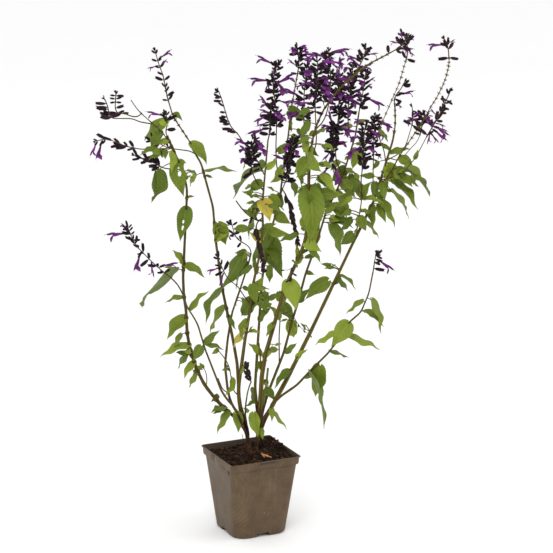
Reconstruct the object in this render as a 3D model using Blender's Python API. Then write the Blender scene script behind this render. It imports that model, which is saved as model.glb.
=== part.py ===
"""A perennial salvia in its square nursery pot, in metres, with +Z up.

The origin is on the underside of the pot, below its middle, and the pot's sides lie along X and Y.
The pot, its soil and the crown stand at their real sizes. The stems, leaves and spikes follow
their places in a photograph: each point is a pixel of it and a distance behind the pot's axis, and
the line of sight through the pixel turns the two into a place on the plant.
"""

import itertools
import math

import bmesh
import bpy
import numpy as np

MM = 0.001

# The pot.
POT_HEIGHT = 0.120
POT_TOP = 0.110
POT_BASE = 0.085
POT_WALL = 0.0015
LIP_HEIGHT = 0.0014
COLLAR_HEIGHT = 0.0125
COLLAR_PROUD = 0.0014
TOP_CORNER = 0.005
BASE_CORNER = 0.020
BASE_EDGE = 0.004
ARCH_WIDTH = 0.020
ARCH_HEIGHT = 0.006
ARCH_REACH = 0.022
NECK_IN = 0.0055
NECK_CORNER = 0.009
NOTCH = (-0.010, 0.015, 0.0024)
DRAIN_RADIUS = 0.0035
DRAIN_PLACE = 0.027

# The soil, and what stands in it.
GAP = 0.0003
SOIL_TOP = 0.112
SOIL_MOUND = 0.007
CHIP_RISE = 0.0004
CROWN_HOLE = 0.0042

# The plant.
PARTING_HEIGHT = 0.187
RIB_THICK = 0.0013
SHORT_STALK = 0.0075
LEAF_BROAD = 0.50
LEAF_ARCH = 0.34
LEAF_FOLD = 0.22
LEAF_LOBE = 0.07
LEAF_BALL = 0.0022
BLADE_HALF = 0.0005
LONG_LEAF = 0.058
MIDDLE_LEAF = 0.038
TOOTH_OUT = 1.14
TOOTH_IN = 0.88
STALK_RADIUS = 0.0008
SPIKE_FOOT = 0.0009
SPIKE_TIP = 0.0006
CALYX_LENGTH = 0.0130
CALYX_RADIUS = 0.0029
WHORL_SPACING = 0.0192
COROLLA_RADIUS = 0.0021
FLOWER_REACH = 0.0022
FLOWER_RISE = 0.05
SLACK = 0.0008
STRAIGHT = 0.00005
CLEAR = 0.0012
BLADE_CLEAR = 0.0030
LEANS = (0.0, 0.4, -0.4, 0.8, -0.8, 1.2, -1.2, 1.6, -1.6, 2.0, -2.0)
SEED = 7

# The line of sight of the photograph: where it looks from, and the pixel where the middle of the
# pot's rim lies.
SIGHT_AZIMUTH = math.radians(-25.2)
SIGHT_ELEVATION = math.radians(15.16)
SIGHT_DISTANCE = 4.5
SIGHT_LENGTH = 3076.0
SIGHT_CENTRE = 276.5
RIM_PIXEL = (250.75, 450.5)
PIXEL = SIGHT_DISTANCE / SIGHT_LENGTH
PIXEL_STEP = 3.0

# The trunks of the crown: pixels across and down, and mm behind the pot's axis.
TRUNKS = {
    "left": ((250, 462, -4), (250, 455, -4), (249, 445, -4), (247, 434, -3), (244, 423, -2)),
    "right": ((256, 463, 4), (256, 456, 4), (256.5, 445, 4), (258.5, 431, 3), (259.5, 415, 2)),
}
TRUNK_RADIUS = 0.0034
TRUNK_SPLIT = 252.0
ROOTED_BELOW = 0.008

# Each leafy stem: its pixels from the crown to its tip, mm behind the axis at its foot, middle and
# tip, and its radius in mm at its foot and tip.
STEMS = {
    "stem_left_outer": dict(
        route=((247, 433), (239, 421), (231, 414), (222, 406), (206, 387), (197, 370), (189, 345),
               (186.5, 325), (186, 310), (184, 298), (183, 274), (183.5, 258), (185, 230), (186, 205),
               (187, 190), (184, 174), (179, 163), (175, 153), (170, 143), (167, 136)),
        away=(-6, -34, -62), radius=(1.7, 1.1)),
    "stem_left_tall": dict(
        route=((246, 432), (243, 421), (240, 410), (238.5, 392), (238, 370), (234, 345), (231, 330),
               (228, 315), (226, 305), (222, 288), (219, 266), (217, 250), (215.5, 238), (215, 225),
               (213, 207), (210, 197), (206, 182), (203, 170), (201, 163), (196, 155), (190, 142),
               (182, 130), (176, 121), (172, 113)),
        away=(2, 52, 84), radius=(1.7, 1.0)),
    "stem_left_arching": dict(
        route=((248, 438), (240, 419), (234, 407), (226, 398), (221, 390), (218, 381), (212, 366),
               (207, 354), (203, 343), (200, 331), (197, 323), (193, 316), (187, 307), (184, 297),
               (178, 285), (170, 277)),
        away=(-12, -84, -140), radius=(1.3, 0.9)),
    "stem_middle_left": dict(
        route=((247, 436), (240, 417), (234, 408), (229, 397), (226.5, 380), (225, 365), (227, 345),
               (229, 330), (232, 313), (236, 302), (240, 290), (244, 277), (249, 262), (251, 253)),
        away=(8, 88, 132), radius=(1.4, 1.0)),
    "stem_middle": dict(
        route=((247, 431), (244, 420), (240, 406), (238.5, 392), (239.5, 378), (241.5, 365),
               (243.5, 350), (246.5, 330), (250, 310), (252, 290), (255, 275), (259, 258), (262, 240),
               (263, 223), (262, 210), (263, 195), (264, 182), (265.5, 168), (267, 155), (268, 140)),
        away=(-1, -32, -64), radius=(2.1, 1.0)),
    "stem_centre_tall": dict(
        route=((258, 434), (258, 420), (257, 405), (255, 390), (256, 375), (257, 360), (258, 345),
               (259, 325), (260, 305), (262, 280), (266, 255), (271, 230), (275, 215), (279, 203),
               (281, 190), (283, 175), (285, 155), (287, 145), (289, 130), (290, 118), (292, 103),
               (295, 88), (297, 77)),
        away=(4, 34, 62), radius=(1.6, 1.0)),
    "stem_centre_short": dict(
        route=((258.5, 430), (260, 410), (262, 395), (262, 380), (261, 365), (260, 352), (259, 343)),
        away=(-1, -7, -14), radius=(1.3, 0.9)),
    "stem_right_thick": dict(
        route=((259, 428), (260, 412), (260.5, 395), (262.5, 370), (267, 348), (273, 327), (280, 303),
               (287, 283), (292, 273), (298, 260), (305, 241), (308, 220), (309, 195), (309, 170),
               (311, 148), (315, 130), (320, 117), (326, 106), (334, 95), (343, 85), (352, 77),
               (365, 66), (376, 60), (388, 54)),
        away=(-6, -64, -112), radius=(2.3, 1.1)),
    "stem_right_tall": dict(
        route=((258, 433), (262, 412), (267, 396), (271, 385), (276, 373), (280, 362), (284, 352),
               (287, 340), (291, 325), (295, 312), (300, 295), (306, 272), (311, 258), (316, 245),
               (321, 228), (326, 212), (330, 203), (337, 190), (343, 175), (350, 153), (356, 133),
               (359, 112)),
        away=(10, 96, 158), radius=(1.6, 1.0)),
    "stem_right_leafy": dict(
        route=((258, 437), (262, 425), (269, 411), (278, 395), (288, 377), (296, 360), (303, 346),
               (310, 333), (317, 318), (324, 303), (332, 287), (338, 275), (346, 258), (352, 245),
               (358, 233), (363, 224), (368, 213), (373, 203), (376, 195), (380, 183), (384, 170),
               (387, 160), (390, 150), (393, 140), (395, 128), (395.5, 118), (395, 108)),
        away=(0, 10, 26), radius=(2.2, 1.0)),
    "stem_right_low": dict(
        route=((258, 433), (262, 421), (271, 406), (281, 396), (297, 385), (310, 371), (322, 359),
               (330, 351), (338, 340), (345, 328), (350, 321), (355, 317), (361, 312), (364, 306),
               (368, 296), (371, 285), (373, 272)),
        away=(-8, -88, -146), radius=(1.3, 0.9)),
    "stem_green_cut": dict(
        route=((259, 426), (262, 408), (265, 392), (267, 380), (268, 368)),
        away=(2, 10, 16), radius=(1.5, 1.4)),
    "stem_dead_thin": dict(
        route=((247.5, 429), (245, 413), (246, 403), (248, 390), (251, 382)),
        away=(-8, -50, -62), radius=(0.9, 0.7)),
}

# Bare side shoots: the stem they grow from, their pixels, mm behind the axis at the tip, radius.
SHOOTS = (
    ("stem_left_outer", ((171, 145), (164, 134), (156, 126.5), (145, 117), (137, 109),
                         (131, 100)), -84, 0.7),
    ("stem_left_outer", ((206, 387), (207, 378), (205, 370), (202, 366)), -60, 0.7),
    ("stem_middle_left", ((228.5, 393), (224, 391), (221, 387), (218, 378)), 50, 0.8),
    ("stem_middle", ((238.5, 395), (234, 392), (231, 380), (229, 366), (223, 356), (216, 348)), 8, 0.8),
    ("stem_right_tall", ((279, 364), (279, 340), (280, 320), (281, 303)), 70, 0.9),
    ("stem_right_leafy", ((356, 237), (357, 228), (359, 215), (361, 205), (362, 195)), -30, 0.9),
    ("stem_right_leafy", ((379, 186), (385, 180), (391, 172), (397, 160), (402, 152), (407, 145),
                          (413, 136), (419, 127), (425, 118), (430, 108), (436, 99), (440, 91),
                          (444, 83), (447, 74), (449, 65), (449, 58)), -52, 0.9),
    ("stem_right_leafy", ((386, 163), (384, 150), (379, 138), (380, 128), (385, 116), (390, 104),
                          (396, 91), (400, 81), (403, 70), (406, 60)), 74, 0.9),
    ("stem_right_leafy", ((387, 160), (397, 155), (405, 147), (409, 135), (412, 125)), -6, 0.7),
    ("stem_right_leafy", ((388, 158), (400, 160), (410, 149), (417, 142), (420, 135)), 66, 0.7),
    ("stem_right_leafy", ((381, 180), (396, 176), (407, 168), (414, 160), (419, 152), (423, 144),
                          (427, 136)), -92, 0.8),
)

# Leaves: pixels of the blade's foot and tip, and its width in pixels.
LEAVES = (
    (166, 122, 144, 141, 13), (166, 131, 149, 150, 10), (163, 120, 152, 132, 8),
    (173, 152, 171, 174, 8), (156, 171, 151, 203, 14), (187, 158, 184, 197, 19),
    (180, 208, 180, 242, 16), (189, 144, 207, 165, 12), (207, 170, 237, 172, 5),
    (206, 176, 213, 178, 3), (196, 175, 190, 187, 5), (187, 198, 195, 196, 3),
    (185, 266, 205, 278, 9), (172, 277, 142, 308, 9), (177, 270, 163, 267, 4),
    (182, 298, 165, 303, 5), (188, 318, 167, 340, 13), (181, 334, 173, 350, 6),
    (188, 345, 160, 357, 9), (189, 351, 178, 369, 6), (201, 346, 193, 361, 11),
    (198, 361, 184, 379, 8), (197, 372, 189, 388, 6), (190, 309, 209, 291, 7),
    (221, 290, 206, 324, 9), (224, 309, 210, 333, 7), (205, 343, 220, 330, 8),
    (206, 344, 224, 350, 5), (224, 407, 211, 413, 7), (229, 412, 217, 434, 8),
    (218, 223, 226, 245, 17), (252, 153, 243, 170, 4), (262, 171, 233, 199, 5),
    (262, 190, 249, 212, 11), (282, 210, 262, 210, 7), (281, 194, 284, 211, 9),
    (260, 205, 249, 240, 8), (243, 255, 222, 290, 15), (240, 262, 236, 290, 7),
    (271, 238, 283, 278, 21), (269, 228, 252, 262, 18), (268, 266, 270, 283, 8),
    (306, 189, 309, 245, 27), (322, 190, 320, 232, 22), (258, 293, 267, 313, 16),
    (254, 298, 241, 316, 15), (248, 320, 240, 341, 8), (288, 281, 296, 311, 19),
    (283, 303, 292, 323, 12), (290, 320, 294, 338, 13), (271, 322, 266, 337, 6),
    (297, 263, 295, 244, 8), (328, 281, 305, 300, 15), (302, 271, 315, 275, 5),
    (276, 282, 281, 293, 6), (253, 289, 270, 289, 5), (232, 378, 225, 396, 7),
    (238, 411, 238, 433, 11), (254, 413, 258, 438, 12), (261, 428, 263, 440, 6),
    (265, 391, 258, 397, 5), (266, 388, 275, 401, 9), (254, 389, 256, 406, 6),
    (256, 402, 245, 407, 4), (270, 410, 287, 430, 4), (270, 407, 272, 422, 6),
    (260, 355, 248, 343, 7), (262, 356, 273, 345, 7), (330, 224, 340, 256, 13),
    (353, 233, 340, 245, 12), (357, 216, 366, 231, 12), (352, 219, 341, 231, 8),
    (331, 190, 347, 222, 8), (331, 205, 346, 220, 9), (371, 205, 373, 229, 9),
    (379, 200, 395, 228, 9), (366, 222, 379, 239, 4), (387, 165, 403, 187, 17),
    (392, 183, 418, 210, 9), (392, 192, 409, 219, 4), (402, 174, 419, 187, 7),
    (406, 170, 430, 197, 4), (375, 182, 372, 198, 9), (383, 183, 385, 201, 10),
    (364, 200, 385, 205, 5), (391, 152, 411, 149, 7), (400, 158, 413, 166, 11),
    (416, 160, 418, 149, 5), (381, 146, 391, 153, 5), (380, 130, 388, 142, 5),
    (345, 320, 331, 347, 19), (350, 336, 380, 350, 7), (334, 333, 315, 345, 6),
    (363, 301, 346, 314, 5), (372, 300, 381, 334, 8), (364, 312, 384, 327, 6),
    (320, 366, 315, 397, 17), (330, 351, 349, 358, 3), (290, 371, 274, 389, 8),
    (300, 373, 313, 377, 5), (309, 374, 324, 429, 6), (336, 278, 348, 291, 6),
    (340, 276, 356, 290, 3), (329, 284, 342, 280, 4), (223, 317, 236, 330, 6),
    (244, 330, 233, 348, 6), (260, 200, 270, 222, 9), (309, 110, 297, 116, 7),
    (292, 121, 291, 133, 4), (309, 122, 300, 140, 8), (312, 136, 327, 129, 6),
    (352, 126, 341, 129, 6), (357, 124, 369, 120, 6), (309, 160, 296, 178, 13),
    (311, 152, 322, 172, 13), (343, 178, 355, 196, 14), (346, 168, 331, 182, 13),
    (352, 150, 366, 165, 12), (331, 202, 316, 205, 10), (283, 168, 270, 183, 11),
    (285, 158, 297, 166, 10), (326, 212, 349, 206, 9), (363, 197, 352, 180, 11),
    (362, 198, 372, 181, 9), (265, 168, 277, 158, 7), (262, 240, 249, 232, 9),
    (276, 214, 291, 224, 12), (305, 242, 322, 252, 12), (216, 240, 230, 233, 6),
    (183, 262, 172, 250, 7), (252, 288, 264, 276, 8), (259, 320, 272, 307, 8),
    (280, 318, 268, 305, 8), (297, 300, 310, 288, 9), (240, 372, 250, 362, 6),
    (257, 372, 268, 360, 6), (285, 352, 297, 343, 7), (297, 359, 308, 349, 6),
)

# Flower spikes: the stem they grow from, their pixels, mm behind the axis at the tip, how far along
# the calyces start, the side they lean to (left -1, right 1, all round 0), and each open flower as
# the pixels where its calyx sits and its corolla ends.
SPIKES = {
    "spike_left_a": dict(
        stem="stem_left_outer", away=-104, start=0.62, side=-1,
        route=((153, 124), (146, 123), (140, 122), (132, 118.5), (124, 118.5), (115, 119), (110, 117),
               (108, 110), (107, 104), (104, 98)), flowers=()),
    "spike_left_b": dict(
        stem="stem_left_outer", away=-66, start=0.45, side=0,
        route=((142, 113), (138, 117), (130, 116), (124, 113), (118, 114), (115, 108), (116, 100),
               (116, 93)), flowers=()),
    "spike_left_c": dict(
        stem="stem_left_outer", away=-92, start=0.48, side=0,
        route=((172, 147), (160, 150), (150, 149), (143, 149.5), (135, 148.5), (128, 147), (122, 145),
               (117, 143), (112, 140), (105, 139), (96, 141)),
        flowers=(((99, 144), (91, 156)), ((104, 145), (97, 159)))),
    "spike_left_d": dict(
        stem="stem_left_outer", away=-20, start=0.42, side=0,
        route=((182, 169), (176, 169), (168, 169), (160, 167), (155, 163), (148, 160), (140, 158),
               (134, 155)), flowers=()),
    "spike_left_upper": dict(
        stem="stem_left_outer", away=-40, start=0.25, side=0,
        route=((167, 136), (165.5, 131.5), (167.5, 124), (166, 113)),
        flowers=(((168, 117), (147, 113)),)),
    "spike_left_small": dict(
        stem="stem_left_tall", away=40, start=0.55, side=0,
        route=((196, 154), (190, 151), (180, 150), (172, 149), (165, 147), (158, 143), (150, 139)),
        flowers=()),
    "spike_left_top": dict(
        stem="stem_left_tall", away=96, start=0.2, side=0,
        route=((172, 113), (168, 100), (165, 86), (164, 79), (162, 72), (158, 62), (155, 50)),
        flowers=(((158, 60), (171, 51)), ((158, 66), (148, 69)))),
    "spike_arching": dict(
        stem="stem_left_arching", away=-176, start=0.1, side=0,
        route=((170, 277), (161, 270), (157, 266), (150, 260), (144, 254), (139, 249), (134, 243),
               (131, 235), (127, 226)),
        flowers=(((131, 234), (107, 236)), ((130, 229), (121, 224)), ((158, 268), (178, 264)),
                 ((140, 253), (135, 271)), ((150, 262), (153, 277)))),
    "spike_left_low": dict(
        stem="stem_middle", away=-70, start=0.7, side=0,
        route=((249, 304), (246, 299), (240, 289), (234, 283), (228, 279), (223, 270), (217, 256)),
        flowers=(((222, 268), (207, 272)), ((224, 272), (220, 286)))),
    "spike_middle_left": dict(
        stem="stem_middle_left", away=150, start=0.4, side=0,
        route=((251, 253), (250.5, 249), (247, 245), (237, 239), (234, 232), (231, 222)), flowers=()),
    "spike_one_sided": dict(
        stem="stem_middle", away=-98, start=0.5, side=-1,
        route=((264.5, 176), (257, 160), (250, 150), (243, 142), (238, 134), (233, 130), (229, 123),
               (227, 117), (225, 111), (223, 104), (221, 97), (218, 90)), flowers=()),
    "spike_middle": dict(
        stem="stem_middle", away=-70, start=0.15, side=0,
        route=((268, 140), (270.5, 130), (270, 121), (270, 112), (272, 104)),
        flowers=(((268, 128), (248, 135)), ((271, 118), (279, 109)), ((269, 122), (257, 127)))),
    "spike_middle_low": dict(
        stem="stem_middle", away=-126, start=0.35, side=0,
        route=((263.5, 191), (257, 183), (252, 171), (251, 160), (252, 150), (255, 138)),
        flowers=(((253, 152), (263, 143)),)),
    "spike_centre_top": dict(
        stem="stem_centre_tall", away=66, start=0.1, side=0,
        route=((297, 77), (298.5, 70), (299, 60), (297, 45)),
        flowers=(((299, 62), (312, 57)), ((299, 68), (288, 60)), ((298, 56), (290, 48)),
                 ((299, 72), (309, 76)))),
    "spike_centre_left": dict(
        stem="stem_centre_tall", away=6, start=0.45, side=0,
        route=((282, 181), (277, 168), (276, 155), (276, 140), (277, 115), (275, 97), (273, 86),
               (274, 75), (278, 62)),
        flowers=(((275, 66), (257, 57)), ((273, 82), (250, 80)), ((274, 77), (266, 90)),
                 ((276, 86), (294, 75)), ((277, 100), (290, 104)))),
    "spike_centre_low": dict(
        stem="stem_centre_tall", away=-24, start=0.3, side=0,
        route=((279, 204), (282, 190), (288, 176), (291, 163), (291, 150), (294, 136)),
        flowers=(((291, 150), (309, 145)), ((290, 160), (282, 170)))),
    "spike_top_a": dict(
        stem="stem_right_thick", away=-36, start=0.45, side=0,
        route=((309, 168), (305, 150), (304, 130), (304, 110), (304, 95), (306, 80), (307, 66)),
        flowers=(((305, 84), (295, 88)), ((306, 76), (318, 84)), ((305, 98), (296, 104)))),
    "spike_top_b": dict(
        stem="stem_right_thick", away=-144, start=0.45, side=0,
        route=((310, 160), (316, 145), (316, 125), (315, 105), (316, 88), (318, 70), (317, 58)),
        flowers=(((318, 66), (334, 61)), ((317, 86), (330, 92)), ((317, 62), (305, 57)),
                 ((316, 98), (326, 103)))),
    "spike_top_c": dict(
        stem="stem_right_thick", away=-70, start=0.35, side=0,
        route=((315, 130), (323, 122), (328, 108), (330, 92), (331, 78), (330, 64), (328, 50)),
        flowers=(((330, 62), (340, 70)), ((330, 84), (320, 80)))),
    "spike_top_d": dict(
        stem="stem_right_tall", away=74, start=0.4, side=0,
        route=((343, 175), (336, 160), (336, 145), (338, 125), (339, 105), (339, 90), (338, 74)),
        flowers=(((339, 92), (349, 99)), ((338, 82), (329, 76)))),
    "spike_top_e": dict(
        stem="stem_right_tall", away=112, start=0.3, side=0,
        route=((353, 143), (349, 134), (348, 122), (348, 110), (350, 94), (352, 80), (353, 65)),
        flowers=(((351, 82), (343, 90)), ((350, 98), (362, 96)))),
    "spike_right_tall": dict(
        stem="stem_right_tall", away=172, start=0.1, side=0,
        route=((359, 112), (361, 102), (363, 92), (365, 80), (366, 70)),
        flowers=(((363, 97), (384, 107)), ((364, 84), (375, 78)))),
    "spike_top_f": dict(
        stem="stem_right_thick", away=-86, start=0.25, side=0,
        route=((350, 79), (355, 74), (359, 66), (364, 57), (366, 46)),
        flowers=(((365, 55), (378, 54)),)),
    "spike_right_top": dict(
        stem="stem_right_thick", away=-120, start=0.05, side=0,
        route=((388, 54), (396, 50), (403, 44), (409, 36)),
        flowers=(((396, 50), (413, 50)), ((402, 44), (390, 42)))),
    "spike_far_back": dict(
        stem="stem_right_leafy", away=84, start=0.05, side=0,
        route=((406, 60), (408, 51), (406, 41), (402, 31)),
        flowers=(((407, 50), (414, 56)), ((405, 40), (414, 38)))),
    "spike_right_leafy": dict(
        stem="stem_right_leafy", away=34, start=0.05, side=1,
        route=((395, 108), (394, 101), (396, 95), (401, 89), (405, 81)),
        flowers=(((396, 97), (414, 92)),)),
    "spike_hanging": dict(
        stem="stem_right_tall", away=30, start=0.35, side=0,
        route=((340, 182), (335.5, 176), (332, 167), (332, 156), (333, 140), (334, 124)),
        flowers=(((330, 165), (317, 181)), ((332, 163), (341, 184)), ((332, 150), (323, 161)))),
    "spike_right_inner": dict(
        stem="stem_right_leafy", away=-58, start=0.35, side=0,
        route=((362, 195), (361, 180), (363, 165), (364, 150), (364, 136), (366, 122)),
        flowers=(((363, 134), (343, 130)), ((363, 142), (356, 152)), ((364, 146), (373, 140)))),
    "spike_right_back": dict(
        stem="stem_right_leafy", away=70, start=0.45, side=0,
        route=((375, 199), (373, 190), (373, 175), (374, 155), (374, 135), (375, 115)),
        flowers=(((374, 150), (381, 159)),)),
    "spike_far_right": dict(
        stem="stem_right_leafy", away=-58, start=0.05, side=0,
        route=((449, 58), (449, 51), (447, 44), (444, 38)),
        flowers=(((447, 46), (428, 46)), ((448, 44), (455, 40)))),
    "spike_right_a": dict(
        stem="stem_right_leafy", away=-8, start=0.05, side=0,
        route=((412, 125), (413, 116), (412, 106)), flowers=()),
    "spike_right_b": dict(
        stem="stem_right_leafy", away=72, start=0.05, side=0,
        route=((420, 135), (422, 126), (425, 113)), flowers=(((421, 126), (430, 113)),)),
    "spike_right_c": dict(
        stem="stem_right_leafy", away=-118, start=0.02, side=0,
        route=((427, 136), (433, 126), (438, 117), (443, 108), (447, 99), (451, 90)),
        flowers=(((434, 126), (448, 136)), ((431, 131), (428, 144)), ((439, 118), (430, 109)))),
    "spike_right_low": dict(
        stem="stem_right_low", away=-152, start=0.2, side=1,
        route=((373, 272), (374.5, 262), (376, 253)), flowers=(((377, 259), (393, 271)),)),
    "spike_dead_high": dict(
        stem="stem_centre_tall", away=-6, start=0.1, side=0,
        route=((281, 187), (286, 195), (290, 205), (292, 215), (294, 226), (298, 242)), flowers=()),
    "spike_dead_middle": dict(
        stem="stem_middle", away=-90, start=0.2, side=0,
        route=((262, 218), (257, 222), (256, 232), (259, 245), (262, 258), (264, 270)), flowers=()),
    "spike_dead_low": dict(
        stem="stem_dead_thin", away=-66, start=0.05, side=0,
        route=((251, 382), (249, 377), (247, 371), (246, 364)), flowers=()),
}

STEM_BROWN = (0.22, 0.17, 0.05)
STEM_OLIVE = (0.26, 0.24, 0.09)
STEM_GREEN = (0.20, 0.30, 0.07)
STEM_GREY = (0.16, 0.13, 0.10)
SPIKE_PURPLE = (0.045, 0.020, 0.045)
SPIKE_DEAD = (0.020, 0.014, 0.012)
POT_TAUPE = (0.19, 0.15, 0.115)
SOIL_BROWN = (0.030, 0.016, 0.009)
CHIP_TAN = (0.45, 0.24, 0.10)


def sight():
    """The right, up and forward directions of the photograph."""
    sin_a, cos_a = math.sin(SIGHT_AZIMUTH), math.cos(SIGHT_AZIMUTH)
    sin_e, cos_e = math.sin(SIGHT_ELEVATION), math.cos(SIGHT_ELEVATION)
    right = np.array((cos_a, sin_a, 0.0))
    forward = np.array((-sin_a * cos_e, cos_a * cos_e, -sin_e))
    return right, np.cross(right, forward), forward


RIGHT, UP, FORWARD = sight()
LEVEL = np.array((-math.sin(SIGHT_AZIMUTH), math.cos(SIGHT_AZIMUTH), 0.0))


def place(pixels, away):
    """Where the lines of sight through the pixels meet the planes `away` behind the pot's axis."""
    pixels = np.atleast_2d(np.asarray(pixels, float))
    rim = np.array((0.0, 0.0, POT_HEIGHT))
    offset = (pixels - SIGHT_CENTRE) / SIGHT_LENGTH
    ray = FORWARD + RIGHT * offset[:, :1] - UP * offset[:, 1:]
    rim_offset = (np.array(RIM_PIXEL) - SIGHT_CENTRE) / SIGHT_LENGTH
    eye = rim - SIGHT_DISTANCE * (FORWARD + RIGHT * rim_offset[0] - UP * rim_offset[1])
    reach = (np.asarray(away, float) - eye @ LEVEL) / (ray @ LEVEL)
    return eye + ray * reach[:, None]


def unit(vectors):
    return vectors / np.linalg.norm(vectors, axis=-1, keepdims=True)


def smooth(points, step):
    """A Catmull-Rom curve through the points, with a sample about every `step` pixels."""
    points = np.asarray(points, float)
    ends = np.vstack((2 * points[0] - points[1], points, 2 * points[-1] - points[-2]))
    samples = []
    for before, start, end, after in zip(ends, ends[1:], ends[2:], ends[3:]):
        count = max(1, round(np.linalg.norm((end - start)[:2]) / step))
        t = (np.arange(count) / count)[:, None]
        samples.append(0.5 * (2 * start + (end - before) * t
                              + (2 * before - 5 * start + 4 * end - after) * t**2
                              + (3 * start - before - 3 * end + after) * t**3))
    return np.vstack((*samples, points[-1:]))


def lengths(points):
    """The distance along a line of points, from its first."""
    return np.concatenate(((0.0,), np.cumsum(np.linalg.norm(np.diff(points, axis=0), axis=1))))


def bowed(ends, part):
    """A depth that passes the foot's, middle's and tip's values as `part` goes from 0 to 1."""
    foot, middle, tip = ends
    return foot + (4 * middle - 3 * foot - tip) * part + (2 * foot + 2 * tip - 4 * middle) * part**2


def tangents(points):
    return unit(np.gradient(points, axis=0))


class Tube:
    """A stem, shoot or stalk: its pixels, its points on the plant and its radius at each."""

    def __init__(self, pixels, points, radii):
        self.pixels = pixels
        self.points = points
        self.radii = radii

    def parting(self):
        """How far along a stem leaves the crown, at the height where the stems are clear."""
        return float(np.interp(PARTING_HEIGHT, self.points[:, 2], lengths(self.points)))

    def straightened(self, slack):
        """The tube with only the points that keep it within `slack` of its line."""
        stretches = [(0, len(self.points) - 1)]
        chosen = set(stretches[0])
        while stretches:
            low, high = stretches.pop()
            if high - low < 2:
                continue
            chord = unit(self.points[high] - self.points[low])
            out = self.points[low + 1:high] - self.points[low]
            off = np.linalg.norm(out - (out @ chord)[:, None] * chord, axis=1)
            if off.max() > slack:
                worst = low + 1 + int(off.argmax())
                chosen.add(worst)
                stretches += [(low, worst), (worst, high)]
        index = sorted(chosen)
        return Tube(self.pixels[index], self.points[index], self.radii[index])

    def straight(self):
        """The tube as straight stretches between its turns, with a sample every millimetre."""
        corners = self.straightened(SLACK)
        along = lengths(corners.points)
        at = np.union1d(along, np.arange(MM, along[-1] - MM, MM))
        return Tube(across(at, along, corners.pixels), across(at, along, corners.points),
                    np.interp(at, along, corners.radii))

    def part(self, first, last):
        """The tube between two distances along it, cut at those exact points."""
        along = lengths(self.points)
        kept = (along > first + MM) & (along < last - MM)
        at = np.concatenate(((first,), along[kept], (last,)))
        return Tube(across(at, along, self.pixels), across(at, along, self.points),
                    np.interp(at, along, self.radii))


def across(at, along, values):
    return np.stack([np.interp(at, along, column) for column in values.T], axis=1)


def stem_tube(stem):
    """A stem's tube, which bows towards or from the viewer and tapers to its tip."""
    pixels = smooth(stem["route"], PIXEL_STEP)
    part = lengths(pixels) / lengths(pixels)[-1]
    points = place(pixels, bowed(stem["away"], part) * MM)
    foot, tip = stem["radius"]
    return Tube(pixels, points, (foot + (tip - foot) * part) * MM)


def trunk_tube(side):
    """A trunk of the crown, which narrows by a quarter to its top."""
    route = smooth(TRUNKS[side], 2 * PIXEL_STEP)
    radii = np.linspace(TRUNK_RADIUS, 0.75 * TRUNK_RADIUS, len(route))
    return Tube(route[:, :2], place(route[:, :2], route[:, 2] * MM), radii)


def rooted(tube, trunk):
    """The stem with its foot on the trunk's middle line, a little lower than its first point."""
    level = tube.points[0, 2] - ROOTED_BELOW
    foot = [np.interp(level, trunk.points[:, 2], column) for column in trunk.points.T]
    pixel = [np.interp(level, trunk.points[:, 2], column) for column in trunk.pixels.T]
    return Tube(np.vstack((pixel, tube.pixels)), np.vstack((foot, tube.points)),
                np.append(tube.radii[:1], tube.radii))


def branch_tube(parent, route, away, radii):
    """A tube that leaves its parent at the nearest point to its first pixel."""
    tube, index = nearest(parent, route[0])
    foot = tube.points[index] @ LEVEL
    pixels = smooth((tube.pixels[index], *route[1:]), PIXEL_STEP)
    part = lengths(pixels) / lengths(pixels)[-1]
    points = place(pixels, foot + (away * MM - foot) * part**1.2)
    points[0] = tube.points[index]
    return Tube(pixels, points, np.interp(part, (0, 1), radii)).straight(), tube, index


def nearest(tubes, pixel):
    """The tube, and the sample along it, that lie nearest a pixel."""
    best = min(tubes, key=lambda tube: np.linalg.norm(tube.pixels - pixel, axis=1).min())
    return best, int(np.linalg.norm(best.pixels - pixel, axis=1).argmin())


class Room:
    """The space that the pieces take, as balls, so that pieces of different nodes stay apart."""

    def __init__(self):
        self.centres = np.zeros((0, 3))
        self.radii = np.zeros(0)
        self.owners = np.zeros(0, int)
        self.names = []

    def owner(self, node):
        if node not in self.names:
            self.names.append(node)
        return self.names.index(node)

    def take(self, node, centres, radii):
        self.centres = np.vstack((self.centres, centres))
        self.radii = np.append(self.radii, np.broadcast_to(radii, len(centres)))
        self.owners = np.append(self.owners, np.full(len(centres), self.owner(node)))

    def clearance(self, node, centres, radii):
        """How far the balls lie from the nearest ball of any other node."""
        low, high = centres.min(axis=0) - 0.012, centres.max(axis=0) + 0.012
        inside = ((self.centres > low) & (self.centres < high)).all(axis=1)
        near = inside & (self.owners != self.owner(node))
        if not near.any():
            return 1.0
        apart = np.linalg.norm(centres[:, None] - self.centres[near][None], axis=2)
        return (apart - self.radii[near] - np.reshape(radii, (-1, 1))).min()


def take_tube(room, node, tube):
    along = lengths(tube.points)
    at = np.arange(0, along[-1] + MM, 1.5 * MM)
    room.take(node, across(at, along, tube.points), np.interp(at, along, tube.radii))


def leaf_frame(foot, tip, width, bank):
    """The axis, left and normal of a leaf that shows `width` of its breadth to the photograph."""
    axis = unit(tip - foot)
    facing = unit(-FORWARD + axis * (FORWARD @ axis))
    side = np.cross(axis, facing)
    breadth = max(width, LEAF_BROAD * np.linalg.norm(tip - foot))
    turn = math.acos(min(1.0, width / breadth)) * bank
    normal = facing * math.cos(turn) + side * math.sin(turn)
    if normal[2] < 0:
        normal = facing * math.cos(turn) - side * math.sin(turn)
    return axis, np.cross(normal, axis), normal, breadth


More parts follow.
